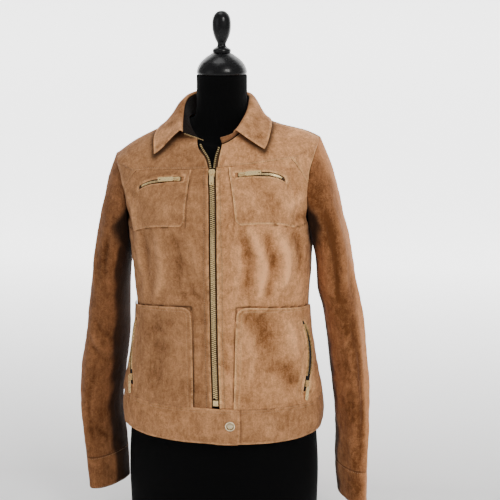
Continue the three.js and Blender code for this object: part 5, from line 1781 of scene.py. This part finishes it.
def sew_cloth(parts, place, lift):
    """A row of topstitches along a line of angles and levels on the cloth."""
    sew(parts, *frames_along(*place, lift))


def thread_piece(name, parts):
    """All the stitches of one part of the jacket in one mesh."""
    points, faces = merge(parts)
    thread = bpy.context.scene.jacket_suede.thread
    look = woven("thread", thread, 9000.0, 0.7, 0.2)
    add_piece(name, make_mesh(name, points, faces.tolist()), look)


def front_stitches(side_name):
    """Every row of topstitching on one half of the front."""
    side, parts = SIDES[side_name], []
    v = np.linspace(BAND_LEVEL + 2, YOKE_LEVEL - 1, 420)
    for d in FRONT_ROWS:
        sew_cloth(parts, front_place(side, np.full_like(v, d), v), -0.15)
    t = np.linspace(0.02, 0.985, 300)
    for up in (1.8, 7.4):
        sew_cloth(parts, yoke_place(side, t, np.full_like(t, up / (NECK - YOKE_LEVEL))), 0.1)
    level = np.linspace(764, 800, 60)
    edge = opening_side("edge", side, level) + side * across(level, FRONT_ROWS[0])
    sew_cloth(parts, (edge, level), 0.1)
    chest_stitches(parts, side)
    lower_stitches(parts, side)
    return parts


def corner_line(wide, tall, radius, off, count):
    """A line at a distance inside a shape's left and lower edges, round its corner."""
    a = np.linspace(0, math.pi / 2, 12)
    r, flat = max(radius - off, 0.5), np.full(count, off)
    p = np.concatenate([flat, radius - r * np.cos(a), np.linspace(radius, wide, count)])
    q = np.concatenate([np.linspace(tall, radius, count), radius - r * np.sin(a), flat])
    return p, q


def chest_stitches(parts, side):
    wide, depth = CHEST["width"], CHEST["depth"]
    up, along = np.linspace(4, depth + 12, 60), np.linspace(9, 82, 60)
    for line in (
        corner_line(wide - 2, depth + 14, CHEST["corner"], CHEST_ROWS[0], 60),
        (np.full_like(up, wide - 2.2), up),
        (np.full_like(up, wide - 9), up),
        (along, np.full_like(along, depth - 2.2)),
    ):
        sew_cloth(parts, chest_place(side, *line), LAP + PATCH - 0.1)


def lower_stitches(parts, side):
    lift, top, wide = LOWER_LIFT - 0.1, LOWER["top"], LOWER_KEYS[3]
    for off in LOWER_ROWS:
        d, drop = corner_line(wide - 2, top - BAND_LEVEL - 3, LOWER["corner"], off, 80)
        sew_cloth(parts, lower_place(side, d, top - drop), lift)
    level = np.linspace(290, 440, 120)
    for d in (LOWER_KEYS[1] - 2.4, LOWER_KEYS[1] - 9.5, LOWER_KEYS[2] + 2.4):
        sew_cloth(parts, (side * np.radians(lower_phi(np.full_like(level, d), level)), level), lift)


def band_stitches():
    parts, quarter = [], math.pi / 2
    for phi, rise in (
        (np.linspace(-quarter + 0.02, LAP_START - 0.02, 240), 0.0),
        (np.linspace(LAP_START, TAB_END - 0.02, 60), 1.0),
        (np.linspace(TAB_END + 0.01, quarter - 0.02, 200), 0.0),
        (np.linspace(quarter + 0.02, 3 * quarter - 0.02, 420), 0.0),
    ):
        for level in (BAND_TOP - BAND_ROWS[0], BAND_TOP - BAND_ROWS[1], BAND_BOTTOM + BAND_ROWS[0]):
            sew_cloth(parts, (phi, np.full_like(phi, level)), rise * lap_rise(phi) - 0.15)
    level = np.linspace(BAND_BOTTOM + 5, BAND_TOP - 5, 40)
    end = np.full_like(level, TAB_END - BAND_ROWS[0] / TAB_ARC)
    sew_cloth(parts, (end, level), lap_rise(end) - 0.15)
    return parts


def cuff_stitches(side_name):
    parts = []
    theta = np.linspace(0, 2 * math.pi, 241)
    for s in (CUFF_AT + CUFF_GAP + HEM_ROW / SLEEVE_LONG, 1 - HEM_ROW / SLEEVE_LONG):
        at = np.full_like(theta, s)
        p = sleeve_surface(side_name, theta, at)
        n = unit(p - p.mean(0))
        tangent = unit(np.gradient(p, axis=0))
        n = unit(n - tangent * (n * tangent).sum(-1, keepdims=True))
        p = p + n * (sleeve_relief(side_name, theta, at, p) - 0.1)[:, None]
        sew(parts, p, tangent, n, np.cross(tangent, n))
    return parts


def collar_stitches():
    parts = []
    angle = np.linspace(COLLAR_ROWS["at"][0] - 0.5, LEAF_END + 0.5, 400)
    v = np.full_like(angle, 1 - LEAF_ROW / LEAF)
    p = fall_surface(angle, v)
    ahead = fall_surface(angle, v + 0.01) - p
    tangent = unit(np.gradient(p, axis=0))
    n = unit(np.cross(tangent, ahead))
    n = n * np.sign(n[:, 2:])
    sew(parts, p + n * (COLLAR / 2 - 0.15), tangent, n, np.cross(tangent, n))
    return parts


# ---- operators ----------------------------------------------------------------------------


class JACKET_OT_form(bpy.types.Operator):
    """Build the dress form: jersey torso, neck cap and finial"""

    bl_idname = "jacket.dress_form"
    bl_label = "Dress form"

    def execute(self, context):
        dress_form()
        return {"FINISHED"}


class JACKET_OT_shell(bpy.types.Operator):
    """Build the fronts, yokes and back"""

    bl_idname = "jacket.shell"
    bl_label = "Fronts, yokes and back"

    def execute(self, context):
        for name in SIDES:
            front(name)
            yoke_front(name)
        back()
        return {"FINISHED"}


class JACKET_OT_waistband(bpy.types.Operator):
    """Build the waistband with its lapped tab"""

    bl_idname = "jacket.waistband"
    bl_label = "Waistband"

    def execute(self, context):
        gap = SEAM / 2 / float(ring("width", BAND_LEVEL, TIP))
        quarter = math.pi / 2
        band("waistband_right", -quarter + gap, TAB_END, 6.0, lap_rise)
        band("waistband_left", LEFT_START + gap, quarter - gap)
        band("waistband_back", quarter + gap, 3 * quarter - gap)
        return {"FINISHED"}


class JACKET_OT_pockets(bpy.types.Operator):
    """Build the chest and lower patch pockets and the lining that shows"""

    bl_idname = "jacket.pockets"
    bl_label = "Pockets"

    def execute(self, context):
        for name in SIDES:
            chest_pocket(name)
            lower_pocket(name)
            pocket_lining(name)
        return {"FINISHED"}


class JACKET_OT_collar(bpy.types.Operator):
    """Build the collar stand and fall"""

    bl_idname = "jacket.collar"
    bl_label = "Collar"

    def execute(self, context):
        collar()
        return {"FINISHED"}


class JACKET_OT_sleeves(bpy.types.Operator):
    """Build both sleeves and their cuffs"""

    bl_idname = "jacket.sleeves"
    bl_label = "Sleeves"

    def execute(self, context):
        for name in SIDES:
            sleeve(name)
        return {"FINISHED"}


class JACKET_OT_zips(bpy.types.Operator):
    """Build the tapes and teeth, and finish the sliders and tabs"""

    bl_idname = "jacket.zips"
    bl_label = "Zips"

    def execute(self, context):
        front_zip()
        for name in SIDES:
            front_tape(name)
            chest_zip(name)
            mouth_zip(name)
        polish_nodes()
        return {"FINISHED"}


class JACKET_OT_snap(bpy.types.Operator):
    """Build the snap on the waistband's tab"""

    bl_idname = "jacket.snap"
    bl_label = "Snap"

    def execute(self, context):
        snap_cap()
        return {"FINISHED"}


class JACKET_OT_sewing(bpy.types.Operator):
    """Sew the topstitching"""

    bl_idname = "jacket.sewing"
    bl_label = "Topstitching"

    def execute(self, context):
        for name in SIDES:
            thread_piece(f"stitches_front_{name}", front_stitches(name))
            thread_piece(f"stitches_cuff_{name}", cuff_stitches(name))
        thread_piece("stitches_waistband", band_stitches())
        thread_piece("stitches_collar", collar_stitches())
        return {"FINISHED"}


class JACKET_OT_stage(bpy.types.Operator):
    """Set up the pale floor, the studio lights and the camera"""

    bl_idname = "jacket.stage"
    bl_label = "Stage"

    def execute(self, context):
        stage(context)
        return {"FINISHED"}


def lay_floor(context, look):
    """A floor that bends up into a backdrop, and shines more the further back it is."""
    bend, bend_from, columns = 0.8, 2.2, 5
    x = np.linspace(-4, 4, columns)
    turn = np.linspace(0, math.pi / 2, 17)
    y = np.concatenate([[-5.0], bend_from + bend * np.sin(turn), [bend_from + bend]])
    z = np.concatenate([[0.0], bend - bend * np.cos(turn), [5.0]])
    grid = np.stack([*np.meshgrid(x, y), np.tile(z[:, None], columns)], -1)
    quads = np.stack(corners(np.arange(len(y) * columns).reshape(-1, columns)), -1)
    mesh = make_mesh("floor", grid.reshape(-1, 3) / MM, quads.reshape(-1, 4).tolist())
    paint = bpy.data.materials.new("floor_paint")
    paint.use_nodes = True
    shader = paint.node_tree.nodes["Principled BSDF"]
    shader.inputs["Base Color"].default_value = (*look.floor, 1)
    shader.inputs["Roughness"].default_value = 0.9
    shader.inputs["Emission Color"].default_value = (1, 1, 1, 1)
    t = Tree(paint.node_tree)
    depth = t.wired("ShaderNodeSeparateXYZ", {0: t.where()})[1]
    far = t.spread(depth, 0.2, 2.4)
    t.put(shader.inputs["Emission Strength"], t.math("MULTIPLY", far, look.glow))
    mesh.materials.append(paint)
    floor = bpy.data.objects.new("floor", mesh)
    context.scene.collection.objects.link(floor)


def stage(context):
    look = context.scene.jacket_stage
    lay_floor(context, look)
    for name, place, size, power, tint in (
        ("key", (1.5, -2.1, 2.3), 0.9, 40.0, (1.0, 0.985, 0.96)),
        ("fill", (-2.3, -1.9, 1.3), 1.6, 7.0, (0.97, 0.985, 1.0)),
        ("top", (-0.3, -0.2, 3.0), 1.2, 17.0, (1.0, 1.0, 1.0)),
    ):
        lamp = bpy.data.lights.new(name, "AREA")
        lamp.shape, lamp.size, lamp.color = "SQUARE", size, tint
        lamp.energy = power * look.light
        holder = bpy.data.objects.new(name, lamp)
        holder.location = place
        aim = Vector((0, 0, 0.5)) - Vector(place)
        holder.rotation_euler = aim.to_track_quat("-Z", "Y").to_euler()
        context.scene.collection.objects.link(holder)
    world = bpy.data.worlds.new("studio")
    world.use_nodes = True
    sky = world.node_tree.nodes["Background"]
    sky.inputs[0].default_value = (1, 1, 1, 1)
    sky.inputs[1].default_value = 0.42
    context.scene.world = world
    camera(context, look.lens)


def camera(context, lens):
    """The photograph's view: 7 degrees round to the left and 12.7 degrees down."""
    turn, down = math.radians(7), math.radians(12.7)
    right = Vector((math.cos(turn), math.sin(turn), 0))
    ahead = Vector((-math.sin(turn), math.cos(turn), 0))
    forward = ahead * math.cos(down) - Vector((0, 0, 1)) * math.sin(down)
    data = bpy.data.cameras.new("photo_view")
    data.lens, data.sensor_width = lens, 36.0
    data.dof.use_dof = False
    made = bpy.data.objects.new("photo_view", data)
    place = -ahead * 2.049 + right * 0.0518 + Vector((0, 0, 1.010))
    basis = Matrix((right, right.cross(forward), -forward)).transposed().to_4x4()
    made.matrix_world = Matrix.Translation(place) @ basis
    context.scene.collection.objects.link(made)
    context.scene.camera = made


class JACKET_PT_panel(bpy.types.Panel):
    """Sizes and colours of the jacket, and its pieces."""

    bl_idname = "JACKET_PT_panel"
    bl_label = "Suede jacket"
    bl_space_type = "VIEW_3D"
    bl_region_type = "UI"
    bl_category = "Jacket"

    def draw(self, context):
        for key, group_class in SETTINGS.items():
            box = self.layout.box()
            for field in group_class.__annotations__:
                box.prop(getattr(context.scene, key), field)
        for operator in OPERATORS:
            self.layout.operator(operator.bl_idname)


SETTINGS = {
    "jacket_suede": JacketSuede,
    "jacket_metal": JacketMetal,
    "jacket_form": JacketForm,
    "jacket_stage": JacketStage,
}
OPERATORS = (
    JACKET_OT_form,
    JACKET_OT_shell,
    JACKET_OT_waistband,
    JACKET_OT_pockets,
    JACKET_OT_collar,
    JACKET_OT_sleeves,
    JACKET_OT_zips,
    JACKET_OT_snap,
    JACKET_OT_sewing,
    JACKET_OT_stage,
)


def register():
    for made in (*SETTINGS.values(), *OPERATORS, JACKET_PT_panel):
        bpy.utils.register_class(made)
    for key, made in SETTINGS.items():
        setattr(bpy.types.Scene, key, bpy.props.PointerProperty(type=made))


def unregister():
    for key in SETTINGS:
        delattr(bpy.types.Scene, key)
    for made in reversed((*SETTINGS.values(), *OPERATORS, JACKET_PT_panel)):
        bpy.utils.unregister_class(made)


def main():
    register()
    for name in (
        "dress_form", "shell", "waistband", "pockets", "collar", "sleeves", "zips", "snap",
        "sewing", "stage",
    ):
        getattr(bpy.ops.jacket, name)()


if __name__ == "__main__":
    main()
